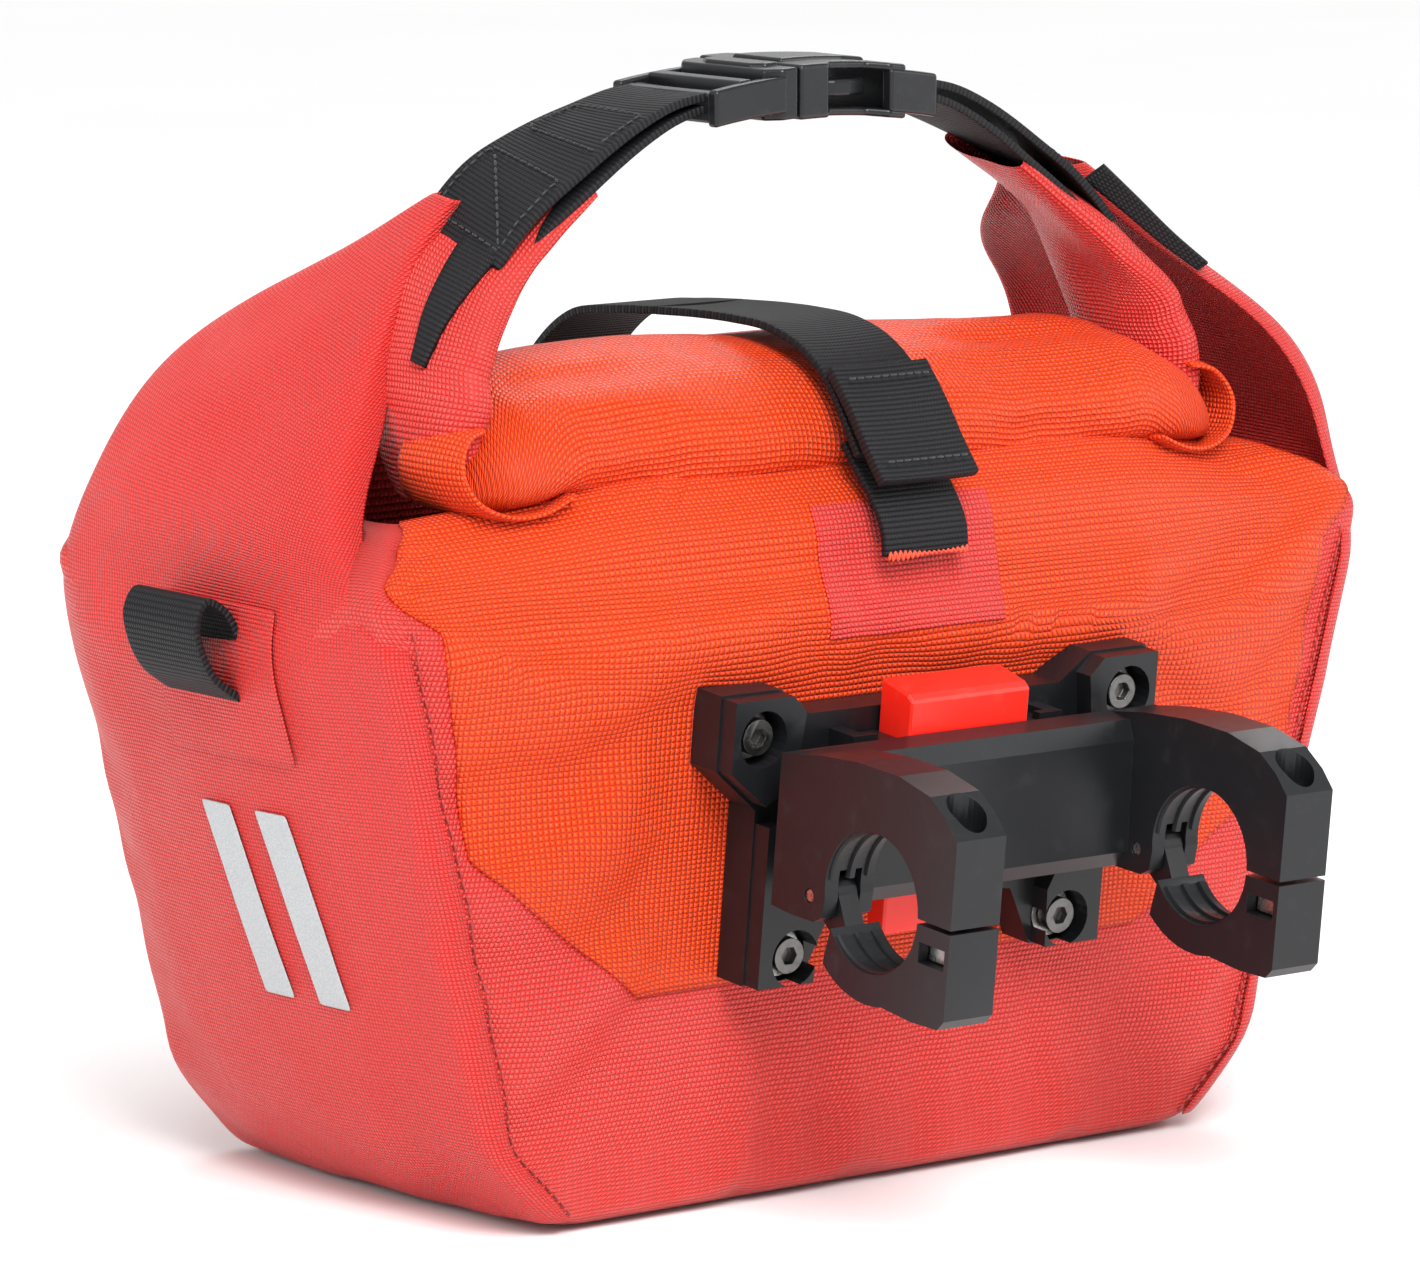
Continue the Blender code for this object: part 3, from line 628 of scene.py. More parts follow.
def make_side(label, side):
    """A side panel that carries on upwards as the gable, and folds in at its edges."""
    heights = [3, 6, 10, 15, 20] + list(np.arange(26, 146, 6)) + [146]
    wall = [side_arc(z) for z in heights]
    wall = [[(side * x, y, z) for x, y, z in row] for row in wall]
    wall = laid_on(wall, 0.8)
    rear = curve_through(GABLE_REAR[side], 22)
    front = curve_through(GABLE_FRONT, 22)
    count = wall.shape[1]
    spots = np.linspace(0, 1, count)
    rows = []
    for j, (a, b) in enumerate(zip(rear, front)):
        rise = j / 21
        row = a + (b - a) * spots[:, None]
        bow = 1.6 * math.sin(math.pi * min(1, rise * 1.5)) + 0.6
        row[:, 0] += bow * np.sin(np.pi * spots)
        row[:, 2] += bow * 0.6 * np.sin(np.pi * spots)
        tuck = np.exp(-spots / 0.045)
        row[:, 0] -= tuck * 9
        row[:, 1] += tuck * 5
        tuck = np.exp(-(1 - spots) / 0.045)
        row[:, 0] -= tuck * 7
        row[:, 1] -= tuck * 3
        rows.append(row * (side, 1, 1))
    rows = np.concatenate([wall, np.array(rows[1:])])
    for _ in range(3):
        middle = (rows[:-2] + rows[2:]) / 2
        first = len(heights) - 2
        rows[first:-1] = rows[first:-1] * 0.5 + middle[first - 1:] * 0.5
    flat = rows.reshape(-1, 3)
    fold = crease(flat, (side * 143, 10, 150), (side * 104, -8, 206), 9, 2.4)
    fold += crease(flat, (side * 142, -38, 152), (side * 106, -16, 204), 6, 1.6)
    fold += crease(flat, (side * 144, 48, 152), (side * 118, 30, 196), 7, 1.4)
    above = smooth_step(flat[:, 2], 140, 156)
    flat[:, 0] -= side * fold * above
    flat[:, 0] += side * above * np.array([wobble(p, 26, 5) for p in flat]) * 1.3
    panel = grid(f"{label}_side_cloth", flat.reshape(rows.shape), CORAL, turn=side > 0)
    thicken(panel, 0.8)
    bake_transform(panel)
    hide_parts(f"{label}_side_panel", f"{label}_gable")


for label, side in SIDES:
    make_side(label, side)


# ---------------------------------------------------------------- sewing
def stitches(name, path, mat, pitch, length, radius, body="bag"):
    """A row of thread dashes along a path, half sunk in the cloth, as one piece."""
    path = np.array(path, float)
    steps = distances(path)
    points, faces = [], []
    for start in np.arange(0.4, steps[-1] - length, pitch):
        ends = [np.array([np.interp(start + d, steps, path[:, k]) for k in range(3)])
                for d in (0, length)]
        along = ends[1] - ends[0]
        along /= max(np.linalg.norm(along), 1e-6)
        side = np.cross(along, (0.31, 0.22, 0.93))
        side /= np.linalg.norm(side)
        lift = np.cross(side, along)
        base = len(points)
        for place, size in ((0, 0.35), (0.25, 1), (0.75, 1), (1, 0.35)):
            middle = ends[0] + (ends[1] - ends[0]) * place
            for turn in range(6):
                angle = math.tau * turn / 6
                around = side * math.cos(angle) + lift * math.sin(angle)
                points.append(middle + radius * size * around)
        for ring in range(3):
            for turn in range(6):
                a, b = base + ring * 6 + turn, base + ring * 6 + (turn + 1) % 6
                faces.append((a, b, b + 6, a + 6))
        faces.append(tuple(range(base + 5, base - 1, -1)))
        faces.append(tuple(range(base + 18, base + 24)))
    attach(add_mesh(name, points, faces, mat), body)


def zigzag(start, end, height, turns):
    """A bar tack's path: back and forth across a line."""
    start, end, height = (np.array(p, float) for p in (start, end, height))
    return [start + (end - start) * i / turns + height * (0.5 if i % 2 else -0.5)
            for i in range(turns + 1)]


# ---------------------------------------------------------------- roll-top closure
# the roll's outline in Y and Z, then X, Y, Z and size of its section towards an end
ROLL_SECTION = ((-56, 165), (-57.5, 171), (-53, 180), (-44, 187.5), (-32, 191.5), (-18, 193.2),
                (-2, 191.5), (8, 186), (13.5, 177), (8, 167), (-6, 162), (-25, 161), (-42, 161.5))
ROLL_END = ((0, -20, 178, 1), (84, -20, 178, 1), (94, -23, 176.5, 0.92), (102, -28, 173.5, 0.74),
            (108, -32, 170.5, 0.52), (112, -35, 168, 0.26))
ROLL_CREASES = (
    ((-108, -38, 176), (-58, -56, 176), 4.5, 4.6),
    ((-106, -34, 180), (-50, -40, 192), 5, 4.2),
    ((-98, -50, 168), (-40, -60, 168), 4, 3.4),
    ((-92, -8, 190), (-40, 4, 190), 5, 2.0),
    ((108, -36, 176), (46, -54, 181), 5, 5.4),
    ((106, -30, 181), (36, -34, 193), 5.5, 4.6),
    ((100, -48, 169), (28, -60, 170), 4, 3.6),
    ((92, -6, 190), (44, 6, 188), 5, 2.0),
    ((-30, -60, 170), (30, -60, 168), 4, 1.2),
    ((28, -50, 186), (78, -42, 188), 6, 2.8),
    ((-86, -52, 166), (-84, -28, 193), 5, 3.4),
    ((70, -52, 168), (88, -30, 192), 5, 3.2),
)


def make_roll():
    section = np.array(ROLL_SECTION + ROLL_SECTION[:1], float)
    steps = distances(section)
    around = np.linspace(0, steps[-1], 57)[:-1]
    ring = np.stack([np.interp(around, steps, section[:, k]) for k in (0, 1)], axis=1)
    for _ in range(2):
        ring = ring * 0.5 + (np.roll(ring, 1, axis=0) + np.roll(ring, -1, axis=0)) * 0.25
    end = np.array(ROLL_END, float)
    rows = []
    for x in np.r_[np.linspace(-112, -86, 12), np.linspace(-82, 82, 42), np.linspace(86, 112, 12)]:
        y, z, size = (float(np.interp(abs(x), end[:, 0], end[:, k])) for k in (1, 2, 3))
        tall = 1 + 0.10 * math.exp(-((x + 58) / 26) ** 2) - 0.08 * math.exp(-((x - 72) / 24) ** 2)
        row = np.empty((len(ring), 3))
        row[:, 0] = x
        row[:, 1] = y + (ring[:, 0] + 20) * size
        row[:, 2] = z + (ring[:, 1] - 178) * size * np.where(ring[:, 1] > 178, tall, 1)
        rows.append(row)
    rows = np.array(rows)
    flat = rows.reshape(-1, 3)
    inward = directions(np.array((0, -20, 176)) - flat * (0, 1, 1))
    depth = sum(crease(flat, *line) for line in ROLL_CREASES)
    depth -= np.array([wobble(p * (0.6, 1, 1), 17, 2) * 1.5 + wobble(p, 8, 4) * 0.35 for p in flat])
    under_strap = np.exp(-(flat[:, 0] / 17) ** 2)
    depth = depth * (1 - 0.8 * under_strap) + 0.5 * under_strap
    flat += inward * depth[:, None]
    roll = grid("roll_cloth", flat.reshape(rows.shape), ORANGE, wrap=True)
    add_modifier(roll, "SUBSURF", levels=1, render_levels=1)
    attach(roll, "bag")
    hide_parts("roll_top")


def twist(x):
    """How far a handle band leans towards the bag's rear, as rise over its width."""
    return 0.3 * smooth_step(abs(x), 40, 84)


# one end of the roll: its path up to the webbing, its half width and half thickness on the way
TAIL_PATH = ((104, -31, 165), (106, -29, 177), (102, -26, 195), (92.5, -22, 211), (79, -20, 222),
             (63, -20, 231.8))
TAIL_STATIONS = (0, 0.2, 0.5, 0.75, 1)
TAIL_HALF_WIDTH, TAIL_HALF_THICK = (15, 20, 19, 16.5, 14), (7, 7.5, 6, 4.5, 2.6)
TAIL_CREASES = (
    ((112, -48, 182), (92, -46, 176), 3.2, 2.4),
    ((116, -46, 196), (88, -44, 186), 2.0, 2.6),
    ((108, -44, 206), (84, -40, 212), 4, 2.2),
    ((110, -24, 172), (88, -26, 216), 3.5, 2.6),
    ((97, -36, 190), (80, -34, 214), 3, 2.2),
)
LIP_PATH = ((86, -43, 165.5), (95, -43, 161.8), (104, -42, 161.5), (112, -41, 165.5),
            (114.5, -40, 173), (110.5, -39, 179.5), (104, -38, 181))
TAIL_ROWS = 26


def make_tail(label, side):
    """One end of the roll, folded up: a flat tube of coral cloth with an orange lip at its foot."""
    path = curve_through(TAIL_PATH, TAIL_ROWS)
    spots = np.linspace(0, 1, TAIL_ROWS)
    half_width = np.interp(spots, TAIL_STATIONS, TAIL_HALF_WIDTH)
    half_thick = np.interp(spots, TAIL_STATIONS, TAIL_HALF_THICK)
    ahead = np.gradient(path, axis=0)
    ahead /= np.linalg.norm(ahead, axis=1, keepdims=True)
    rows = []
    angles = np.linspace(0, math.tau, 33)[:-1]
    for point, way, a, b in zip(path, ahead, half_width, half_thick):
        out = np.cross((0, 1, 0), way)
        across = np.sign(np.cos(angles)) * np.abs(np.cos(angles)) ** 0.8 * a
        thick = np.sign(np.sin(angles)) * np.abs(np.sin(angles)) ** 0.9 * b
        lean = (0, 1, twist(point[0]) * smooth_step(point[2], 195, 215))
        rows.append(point + np.outer(across, lean) + np.outer(thick, out))
    rows = np.array(rows)
    flat = rows.reshape(-1, 3)
    inward = directions(np.repeat(path, len(angles), axis=0) - flat)
    depth = sum(crease(flat, *line) for line in TAIL_CREASES)
    depth -= np.array([wobble(p, 15, 6 + side) * 1.3 for p in flat])
    flat += inward * depth[:, None]
    flat[:, 0] *= side
    tail = grid(f"{label}_tail_cloth", flat.reshape(rows.shape), CORAL_COARSE, wrap=True)
    add_modifier(tail, "SUBSURF", levels=1, render_levels=1)
    fold = {"start": (side * 0.104, -0.03, 0.170), "end": (side * 0.100, -0.026, 0.196)}
    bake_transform(tail)
    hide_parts(f"{label}_tail")
    width = np.interp(spots, (0, 0.4, 1), (30, 30, 20))
    rows = ribbon_rows(curve_through(LIP_PATH, TAIL_ROWS), (0, 1, 0), width, 11, 1.2)
    rows[..., 0] *= side
    curl = grid(f"{label}_roll_curl", rows, ORANGE, turn=side < 0)
    thicken(curl, 1.3)
    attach(curl, "bag")
    return fold


make_roll()
folds = {side: make_tail(label, side) for label, side in SIDES}


# ---------------------------------------------------------------- handle webbing
def make_webbing(obj, thickness, edge=0):
    """Gives a band its thickness, half to each side, and soft edges."""
    add_modifier(obj, "SOLIDIFY", thickness=thickness * MM, offset=0)
    if edge:
        add_modifier(obj, "BEVEL", width=edge * MM, segments=2, limit_method="ANGLE")


def band(name, path, width, thickness, crown=0.0, points=0):
    """A woven band with real thickness: a handle's, or the strap's when points is given."""
    line = curve_through(path, points or max(12, len(path) * 5))
    side = (1, 0, 0) if points else [(0, 1, twist(x)) for x in line[:, 0]]
    obj = grid(name, ribbon_rows(line, side, width, 9, crown), BLACK_WEBBING)
    make_webbing(obj, thickness, 0.35)
    return obj


def side_points(side, points):
    return [(side * x, BUCKLE_Y, z) for x, z in points]


def tree_of(*names):
    """A search tree over some pieces, with their modifiers applied."""
    graph = bpy.context.evaluated_depsgraph_get()
    spots, faces = [], []
    for name in names:
        mesh = bpy.data.objects[name].evaluated_get(graph).data
        first = len(spots)
        spots += [vertex.co.copy() for vertex in mesh.vertices]
        faces += [[first + index for index in polygon.vertices] for polygon in mesh.polygons]
    return BVHTree.FromPolygons(spots, faces)


def laid(rows, tree, outward, lift):
    """Rows of points dropped onto a piece along a direction, and lifted off it."""
    outward = Vector(outward).normalized()
    placed = np.array(rows, float)
    flat = placed.reshape(-1, 3)
    for index, point in enumerate(flat):
        start = Vector(point) * MM + outward * 0.03
        spot, normal, _, _ = tree.ray_cast(start, -outward, 0.08)
        if spot is None:
            spot, normal, _, _ = tree.find_nearest(Vector(point) * MM)
        if normal.dot(outward) < 0:
            normal = -normal
        flat[index] = np.array(spot) / MM + np.array(normal) * lift
    return placed


# a handle's upper and lower layer of webbing, in X and Z
WEBBING_TOP = ((91, 218.5), (86, 224.2), (79.5, 230), (66.5, 237.6), (51, 244.8), (38, 249),
               (28, 250.2))
WEBBING_UNDER = ((88, 215), (78, 224.6), (65, 232.6), (50, 240.6), (38, 245.6), (30, 247.6))
# the folded webbing that shows along each gable's rear edge
EDGE_STRIP = {
    -1: ((87, -31, 224), (96, -30, 215), (105, -30.5, 204), (111, -32, 194)),
    1: ((87, -32, 226), (96, -35, 218), (104, -39, 210), (112, -43, 203)),
}


def make_handle_webbing(label, side):
    handle = f"{label}_handle"
    upper = side_points(side, WEBBING_TOP)
    top = band(f"{label}_webbing_top", upper, 30, 2.0, crown=0.4)
    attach(top, handle)
    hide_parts(f"{label}_handle_webbing")
    lower = side_points(side, WEBBING_UNDER)
    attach(band(f"{label}_webbing_under", lower, 29.4, 1.9), handle)
    line = curve_through([(side * x, y, z) for x, y, z in EDGE_STRIP[side]], 24)
    across = (-0.61, 0.57, 0.41) if side < 0 else (0.5, -0.62, 0.6)
    rows = ribbon_rows(line, across, np.linspace(11 if side < 0 else 6, 3, 24), 7)
    if side < 0:
        rows = laid(rows, tree_of("left_side_cloth", "left_tail_cloth"), (-0.62, -0.78, 0.1), 0.7)
    edge = grid(f"{label}_edge_strip", rows, BLACK_WEBBING)
    make_webbing(edge, 1.3)
    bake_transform(edge)
    seam = curve_through(upper, 60)
    lift = 1.25
    for number, ends in enumerate(((3, 21), (30, 42))):
        a, b, c, d = [seam[index] * (1, 0, 1) + np.array((side * 0.6, y, lift))
                      for index in ends for y in (-32, -8)]
        outline = [a, b, d, c, a]
        if number == 0:
            outline += [d]
        path = []
        for p, q in zip(outline, outline[1:]):
            for t in np.linspace(0, 1, 12)[:-1]:
                spot = p + (q - p) * t
                near = seam[np.argmin(np.abs(seam[:, 0] - spot[0]))]
                spot[2] = near[2] + lift + 0.35 * (1 - ((spot[1] + 20) / 15) ** 2)
                spot[2] += (spot[1] + 20) * twist(spot[0])
                path.append(spot)
        stitches(f"{label}_box_stitch_{number + 1}", path, BLACK_THREAD, 2.6, 1.9, 0.3, handle)


for label, side in SIDES:
    make_handle_webbing(label, side)


# ---------------------------------------------------------------- closing strap
# paths of the strap's parts in Y and Z, from the front seam over the roll to the rear anchor
STRAP_BACK = ((71.8, 126), (70.8, 148), (66, 163.5), (55, 182.5), (40, 193), (24, 195.3),
              (8, 196.4))
STRAP_OVER = ((8, 196.4), (-8, 197), (-20, 197), (-34, 196), (-45, 192.6), (-53.5, 187),
              (-60, 178.5), (-66, 169.5))
PULL_TAB = ((-56.5, 188.6), (-63.5, 180.5), (-70, 171.5), (-75.5, 164.6))
TAB_FACE = ((-57.5, 189.8), (-64.6, 182.2), (-71.4, 173), (-76.6, 166.3))
STRAP_ANCHOR = ((-74.2, 147.5), (-73.6, 153), (-69.6, 160), (-64, 166), (-59, 172))


def in_middle(points):
    return [(0, y, z) for y, z in points]


def make_strap():
    base = band("strap_back", in_middle(STRAP_BACK), 27, 1.9, points=60)
    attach(base, "bag")
    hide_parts("strap_base")
    flap = band("strap_over_roll", in_middle(STRAP_OVER), 27, 1.9, crown=0.5, points=60)
    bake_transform(flap)
    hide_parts("strap_flap")
    pull = band("strap_pull_tab", in_middle(PULL_TAB), 28.5, 2.6, crown=0.6, points=24)
    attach(pull, "strap")
    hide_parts("pull_tab")
    anchor = band("strap_anchor_webbing", in_middle(STRAP_ANCHOR), 24.5, 1.8, points=24)
    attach(anchor, "bag")
    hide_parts("strap_anchor")
    seam = curve_through(in_middle(TAB_FACE), 20)
    for number, spot in enumerate((seam[17], seam[3])):
        line = [(x, spot[1] - 0.8, spot[2] + 0.4) for x in np.linspace(-12.5, 12.5, 20)]
        stitches(f"tab_stitch_{number + 1}", line, BLACK_THREAD, 2.4, 1.8, 0.32, "strap")


make_strap()


# ---------------------------------------------------------------- patches, loops, reflective bars
def make_strap_patch():
    """The coral patch under the strap's anchor, with its pressed frame and a bar tack."""
    rear = tree_of("rear_panel_cloth")
    xs, zs = np.linspace(-26, 26, 29), np.linspace(130.5, 163, 30)
    rows = [[(x, -75, z) for x in xs] for z in zs]
    rows = laid(rows, rear, (0, -1, 0.35), 0.55)
    away = np.maximum(abs(xs)[None, :] - 14, abs(zs - 145.5)[:, None] - 7)
    rows[..., 1] -= 0.7 * np.exp(-(away / 1.3) ** 2)
    patch = grid("strap_patch_cloth", rows, CORAL_COARSE)
    thicken(patch, 0.6)
    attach(patch, "bag")
    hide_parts("strap_patch")
    tack = zigzag((-12, -75.6, 147.6), (12, -75.6, 147.6), (0, 0.1, 2.6), 34)
    stitches("anchor_bar_tack", tack, ORANGE_THREAD, 2.62, 2.4, 0.34)


make_strap_patch()

SIDE_Z, SIDE_SLOPE = 118, math.atan2(32, 126)


def side_point(side, out, y, up):
    """A point given from the trim's place on the side wall, along the leaning wall."""
    x = float(np.interp(SIDE_Z, LEVELS[:, 0], LEVELS[:, 1])) + 2.2
    return (side * (x + out * math.cos(SIDE_SLOPE) + up * math.sin(SIDE_SLOPE)), y,
            SIDE_Z - out * math.sin(SIDE_SLOPE) + up * math.cos(SIDE_SLOPE))


# the loop's path: up the wall, over its top and back down to the sewn end
LOOP_PATH = ((1.4, -2), (1.5, 7), (2.2, 17), (4.8, 25), (8.4, 28), (11.8, 25), (12.6, 18),
             (10.6, 10.5), (6.6, 5.5), (3.9, 2.4), (3.2, -0.6), (3.1, -2.6))
SEAM_INSET = 7.2


def make_side_trim(label, side):
    wall = tree_of(f"{label}_side_cloth")
    outward = (side, 0, 0)
    rows = [[side_point(side, 1, y, up) for y in np.linspace(-28, 17, 25)]
            for up in np.linspace(-11.5, 25, 21)]
    patch = grid(f"{label}_loop_patch_cloth", laid(rows, wall, outward, 0.5), CORAL, turn=side > 0)
    thicken(patch, 0.5)
    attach(patch, "bag")
    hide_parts(f"{label}_loop_patch")
    path = curve_through([side_point(side, out, 0, up) for out, up in LOOP_PATH], 44)
    rows = ribbon_rows(path, (0, 1, 0), 28, 9)
    loop = grid(f"{label}_loop_webbing", rows, BLACK_WEBBING)
    make_webbing(loop, 1.7, 0.3)
    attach(loop, "bag")
    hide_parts(f"{label}_loop")
    low, high = side_point(side, 3.3, -13, -2.6), side_point(side, 3.3, 13, -2.6)
    height = np.array(side_point(side, 4.3, 0, -1.2)) - side_point(side, 2.3, 0, -4.0)
    tack = zigzag(low, high, height, 34)
    stitches(f"{label}_loop_bar_tack", tack, ORANGE_THREAD, 2.9, 2.6, 0.34)
    for number, y in enumerate((-22, -2), 1):
        rows = []
        for up in np.linspace(-70, -24, 24):
            drift = (up + 70) / 46 * 8
            rows.append([side_point(side, 1, y + drift + across, up)
                         for across in np.linspace(-6, 5, 9)])
        bar = grid(f"{label}_reflective_bar_{number}", laid(rows, wall, outward, 0.32), FILM,
                   turn=side > 0)
        thicken(bar, 0.3)
        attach(bar, "bag")
        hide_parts(f"{label}_reflector_{number}")


def make_side_seams(label, side):
    """The line of stitches down both edges of a side panel, on the rear and on the front face."""
    for name, direction in (("rear", -1), ("front", 1)):
        line = [[(side * (level_at(z)[0] - SEAM_INSET), direction * 80, z)
                 for z in np.linspace(4, 143, 60)]]
        spots = laid(line, shell_tree, (0, direction, 0), 0.55)[0]
        stitches(f"{label}_{name}_seam_thread", spots, RED_THREAD, 3.1, 2.2, 0.34)


for label, side in SIDES:
    make_side_trim(label, side)
    make_side_seams(label, side)


# ---------------------------------------------------------------- CAD pieces that show
def soften(node, width, mat, segments=4):
    """A CAD piece keeps its shape; its flat faces are merged and its edges get a moulded radius."""
    obj = NODES[node]
    for index in range(len(obj.material_slots)):
        obj.material_slots[index].material = mat
    if not obj.material_slots:
        obj.data.materials.append(mat)
    if width:
        add_modifier(obj, "WELD", merge_threshold=0.00002)
        add_modifier(obj, "DECIMATE", decimate_type="DISSOLVE", angle_limit=math.radians(1.5))
        add_modifier(obj, "BEVEL", width=width * MM, segments=segments, limit_method="ANGLE",
                     angle_limit=math.radians(28), harden_normals=True, miter_outer="MITER_ARC")


for node, width in (("bag_plate", 1.8), ("adapter_body", 1.7), ("left_jaw", 1.4),
                    ("right_jaw", 1.4), ("backing_plate", 0.5)):
    soften(node, width, PLASTIC)
for node, width in (("front_prong", 0.9), ("back_prong", 0.9), ("roll_stiffener", 0.3)):
    soften(node, width, BUCKLE_PLASTIC)
soften("release_button", 0.6, RED_PLASTIC)
for number in range(1, 5):
    soften(f"plate_screw_{number}", 0.35, DARK_STEEL, 2)
    soften(f"plate_washer_{number}", 0.2, STEEL, 2)
    soften(f"backing_nut_{number}", 0.3, STEEL, 2)
for label in ("left", "right"):
    soften(f"{label}_clamp_screw", 0.35, DARK_STEEL, 2)
    soften(f"{label}_clamp_nut", 0.2, STEEL, 2)
    soften(f"{label}_hinge_pin", 0.2, STEEL, 2)


# ---------------------------------------------------------------- buckle
BUCKLE_ARCH = 0.0028  # drop in metres at the buckle's two ends


def both_ways(half):
    """An outline in X and Y from the half on the +Y side."""
    return list(half) + [(x, -y) for x, y in reversed(half)]


def moulding(name, solids, radius, body_name, node):
    """Rounded slabs that make up one moulded piece, arched to follow the handle.

    Each slab is an outline in X and Y, a bottom and a top.
    """
    points, faces = [], []
    for outline, low, high in solids:
        base, count = len(points), len(outline)
        for z in (low, high):
            for x, y in outline:
                points.append((x, BUCKLE_Y + y, BUCKLE_Z + z))
        faces.append([base + k for k in reversed(range(count))])
        faces.append([base + count + k for k in range(count)])
        for k in range(count):
            after = (k + 1) % count
            faces.append([base + k, base + after, base + count + after, base + count + k])
    obj = add_mesh(name, points, faces, BUCKLE_PLASTIC)
    work = bmesh.new()
    work.from_mesh(obj.data)
    bmesh.ops.recalc_face_normals(work, faces=work.faces)
    long_edges = [e for e in work.edges if abs((e.verts[0].co - e.verts[1].co).x) > 0.006]
    bmesh.ops.subdivide_edges(work, edges=long_edges, cuts=3)
    for vert in work.verts:
        vert.co.z -= BUCKLE_ARCH * (vert.co.x / 0.033) ** 2
    work.to_mesh(obj.data)
    work.free()
    obj.data.shade_smooth()
    add_modifier(obj, "BEVEL", width=radius * MM, segments=4, limit_method="ANGLE",
                 angle_limit=math.radians(25), harden_normals=True)
    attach(obj, body_name)
    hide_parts(node)


def slab(x0, x1, y0, y1, z0, z1):
    return [(x0, y0), (x1, y0), (x1, y1), (x0, y1)], z0, z1


male = [slab(-33, -12, s * 17.6 - 1.6, s * 17.6 + 1.6, -4.2, 4.2) for s in (-1, 1)]
male += [slab(-33, -29.6, -17, 17, -3.4, 3.4), slab(-24.6, -20.6, -17, 17, -0.4, 4.6)]
male += [(both_ways([(-16, 15), (-13, 18.6), (-8.4, 18.6)]), -5.9, 5.9)]
male += [(both_ways([(-14.5, 8), (-12.5, 11.5), (-8.4, 11.5)]), 5, 6.7)]
male += [slab(-10, 12, -3, 3, -1.8, 1.8)]
moulding("buckle_male_moulding", male, 1.1, "left_handle", "buckle_male")
cover = both_ways([(-8, 18.8), (0.5, 18.8), (3.5, 14.8), (14.5, 14.8), (18.5, 18.8), (23.5, 18.8)])
female = [(cover, 4.4, 6.3), (cover, -6.3, -4.4)]
female += [slab(-8, 0.5, s * 17.7 - 1.2, s * 17.7 + 1.2, -6, 6) for s in (-1, 1)]
female += [slab(18.5, 32.6, s * 17.4 - 1.7, s * 17.4 + 1.7, -5, 5) for s in (-1, 1)]
female += [slab(20.6, 24, -18, 18, -5.6, 5.6), slab(29.4, 33, -18, 18, -3.8, 3.8)]
female += [(both_ways([(-6, 9), (14, 7), (19, 9)]), 5.4, 7.1)]
moulding("buckle_female_moulding", female, 1.0, "right_handle", "buckle_female")


# ---------------------------------------------------------------- clamp ribs and return spring
BORE_R, CLAMP_X, CLAMP_SPACING = 15.9, 5.0, 96.6


def grip_ribs(name, middle, start, end, body_name):
    """Three shallow ribs round part of a clamp's bore."""
    points, faces = [], []
    angles = np.radians(np.linspace(start, end, 40))
    for offset in (-CLAMP_X, 0, CLAMP_X):
        base = len(points)
        for angle in angles:
            for across, radius in ((-1.1, BORE_R + 0.3), (-0.7, BORE_R - 0.7), (0.7, BORE_R - 0.7),
                                   (1.1, BORE_R + 0.3)):
                points.append(mount_point(middle + offset + across, radius * math.cos(angle),
                                          radius * math.sin(angle)))
        for j in range(len(angles) - 1):
            for k in range(4):
                a, b = base + j * 4 + k, base + j * 4 + (k + 1) % 4
                faces.append((a, b, b + 4, a + 4))
        faces.append((base + 3, base + 2, base + 1, base))
        last = base + (len(angles) - 1) * 4
        faces.append((last, last + 1, last + 2, last + 3))
    ribs = add_mesh(name, points, faces, PLASTIC)
    ribs.data.set_sharp_from_angle(angle=math.radians(40))
    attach(ribs, body_name)


for label, side in SIDES:
    grip_ribs(f"{label}_arm_grip_ribs", side * CLAMP_SPACING / 2, 4, 172, "adapter")
    grip_ribs(f"{label}_jaw_grip_ribs", side * CLAMP_SPACING / 2, 187, 318, f"{label}_jaw")


def make_spring():
    """The return spring under the button: a coil at its rest length; the real spring shortens as
    the button goes down.
    """
    turns, steps, wire, radius = 8, 20, 0.35, 1.7
    low, high = 0.75, 20.3
    rows = []
    for i in range(turns * steps + 1):
        angle = math.tau * i / steps
        rise = low + (high - low) * i / (turns * steps)
        ring = []
        for k in range(8):
            turn = math.tau * k / 8
            reach = radius + wire * math.cos(turn)
            ring.append(mount_point(reach * math.cos(angle), 37.2 + reach * math.sin(angle),
                                    rise + wire * math.sin(turn)))
        rows.append(ring)
    coil = grid("return_spring_coil", rows, STEEL, wrap=True)
    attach(coil, "adapter")
    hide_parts("release_spring")
    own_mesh(coil)


make_spring()

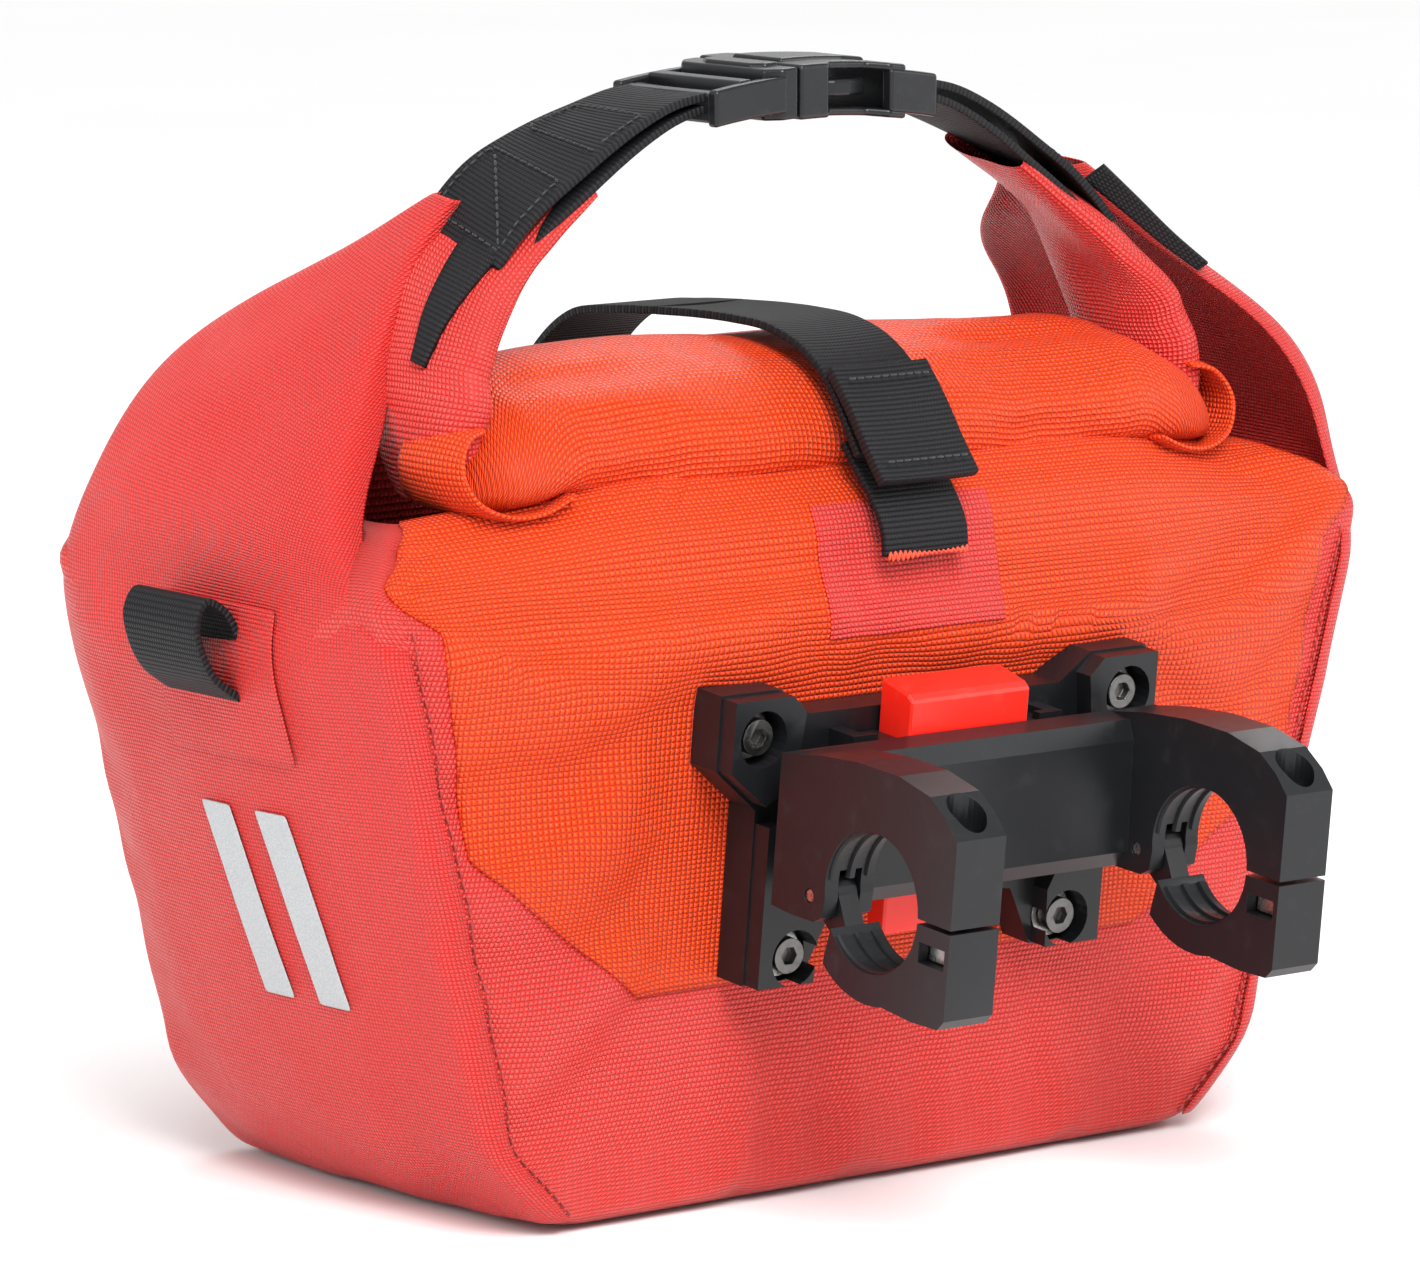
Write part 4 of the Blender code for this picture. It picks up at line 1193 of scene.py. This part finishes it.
# ---------------------------------------------------------------- studio
def make_studio():
    floor = bpy.data.meshes.new("studio_floor")
    floor.from_pydata([(-30, -30, 0), (30, -30, 0), (30, 30, 0), (-30, 30, 0)], [], [(0, 1, 2, 3)])
    backdrop = Nodes("pale_floor", 0.8)
    cloudy = backdrop.noise(3, 2)
    backdrop.link(backdrop.mix(cloudy, (0.88, 0.88, 0.88), (0.92, 0.92, 0.92)),
                  backdrop.shader.inputs["Base Color"])
    floor.materials.append(backdrop.mat)
    ground = add_object("studio_floor", floor)
    ground.location.z = -0.0004
    world = bpy.data.worlds.new("studio")
    world.use_nodes = True
    sky = world.node_tree.nodes["Background"]
    sky.inputs["Color"].default_value = (1, 1, 1, 1)
    sky.inputs["Strength"].default_value = 0.6
    bpy.context.scene.world = world
    target = Vector((0, 0, 0.12))
    lights = (
        ("key_light", (-0.5, -1.3, 1.2), 0.8, 23),
        ("fill_light", (-1.7, 0.1, 0.8), 1.0, 9),
        ("rim_light", (1.2, 1.0, 1.3), 0.9, 7),
        ("right_light", (1.3, -0.9, 0.6), 0.8, 6),
    )
    sun = bpy.data.lights.new("sky_light", "SUN")
    sun.energy = 1.9
    sun.angle = 0.7
    top = add_object("sky_light", sun)
    top.rotation_euler = Vector((-0.35, -0.6, 1.0)).to_track_quat("Z", "Y").to_euler()
    for name, place, size, power in lights:
        lamp = bpy.data.lights.new(name, "AREA")
        lamp.energy = power
        lamp.size = size
        light = add_object(name, lamp)
        light.location = place
        light.rotation_euler = (target - Vector(place)).to_track_quat("-Z", "Y").to_euler()


def make_camera():
    """The camera's direction, place and long lens."""
    azimuth, elevation, roll = math.radians(38.64), math.radians(8.59), math.radians(0.14)
    back = Vector((-math.sin(azimuth) * math.cos(elevation),
                   -math.cos(azimuth) * math.cos(elevation), math.sin(elevation)))
    level = Vector((math.cos(azimuth), -math.sin(azimuth), 0))
    upright = back.cross(level)
    right = level * math.cos(roll) + upright * math.sin(roll)
    up = upright * math.cos(roll) - level * math.sin(roll)
    place = Vector((0, BAR_Y, BAR_Z)) - right * 78.44 + up * 53.24 + back * 1781.08
    camera = bpy.data.cameras.new("camera")
    camera.sensor_width = 36
    camera.lens = 202.3
    camera.clip_end = 50
    view = add_object("camera", camera)
    turn = Matrix((right, up, back)).transposed().to_4x4()
    view.matrix_world = Matrix.Translation(place * MM) @ turn
    bpy.context.scene.camera = view


make_studio()
make_camera()
bpy.context.scene.view_settings.view_transform = "Standard"
bpy.context.view_layer.update()
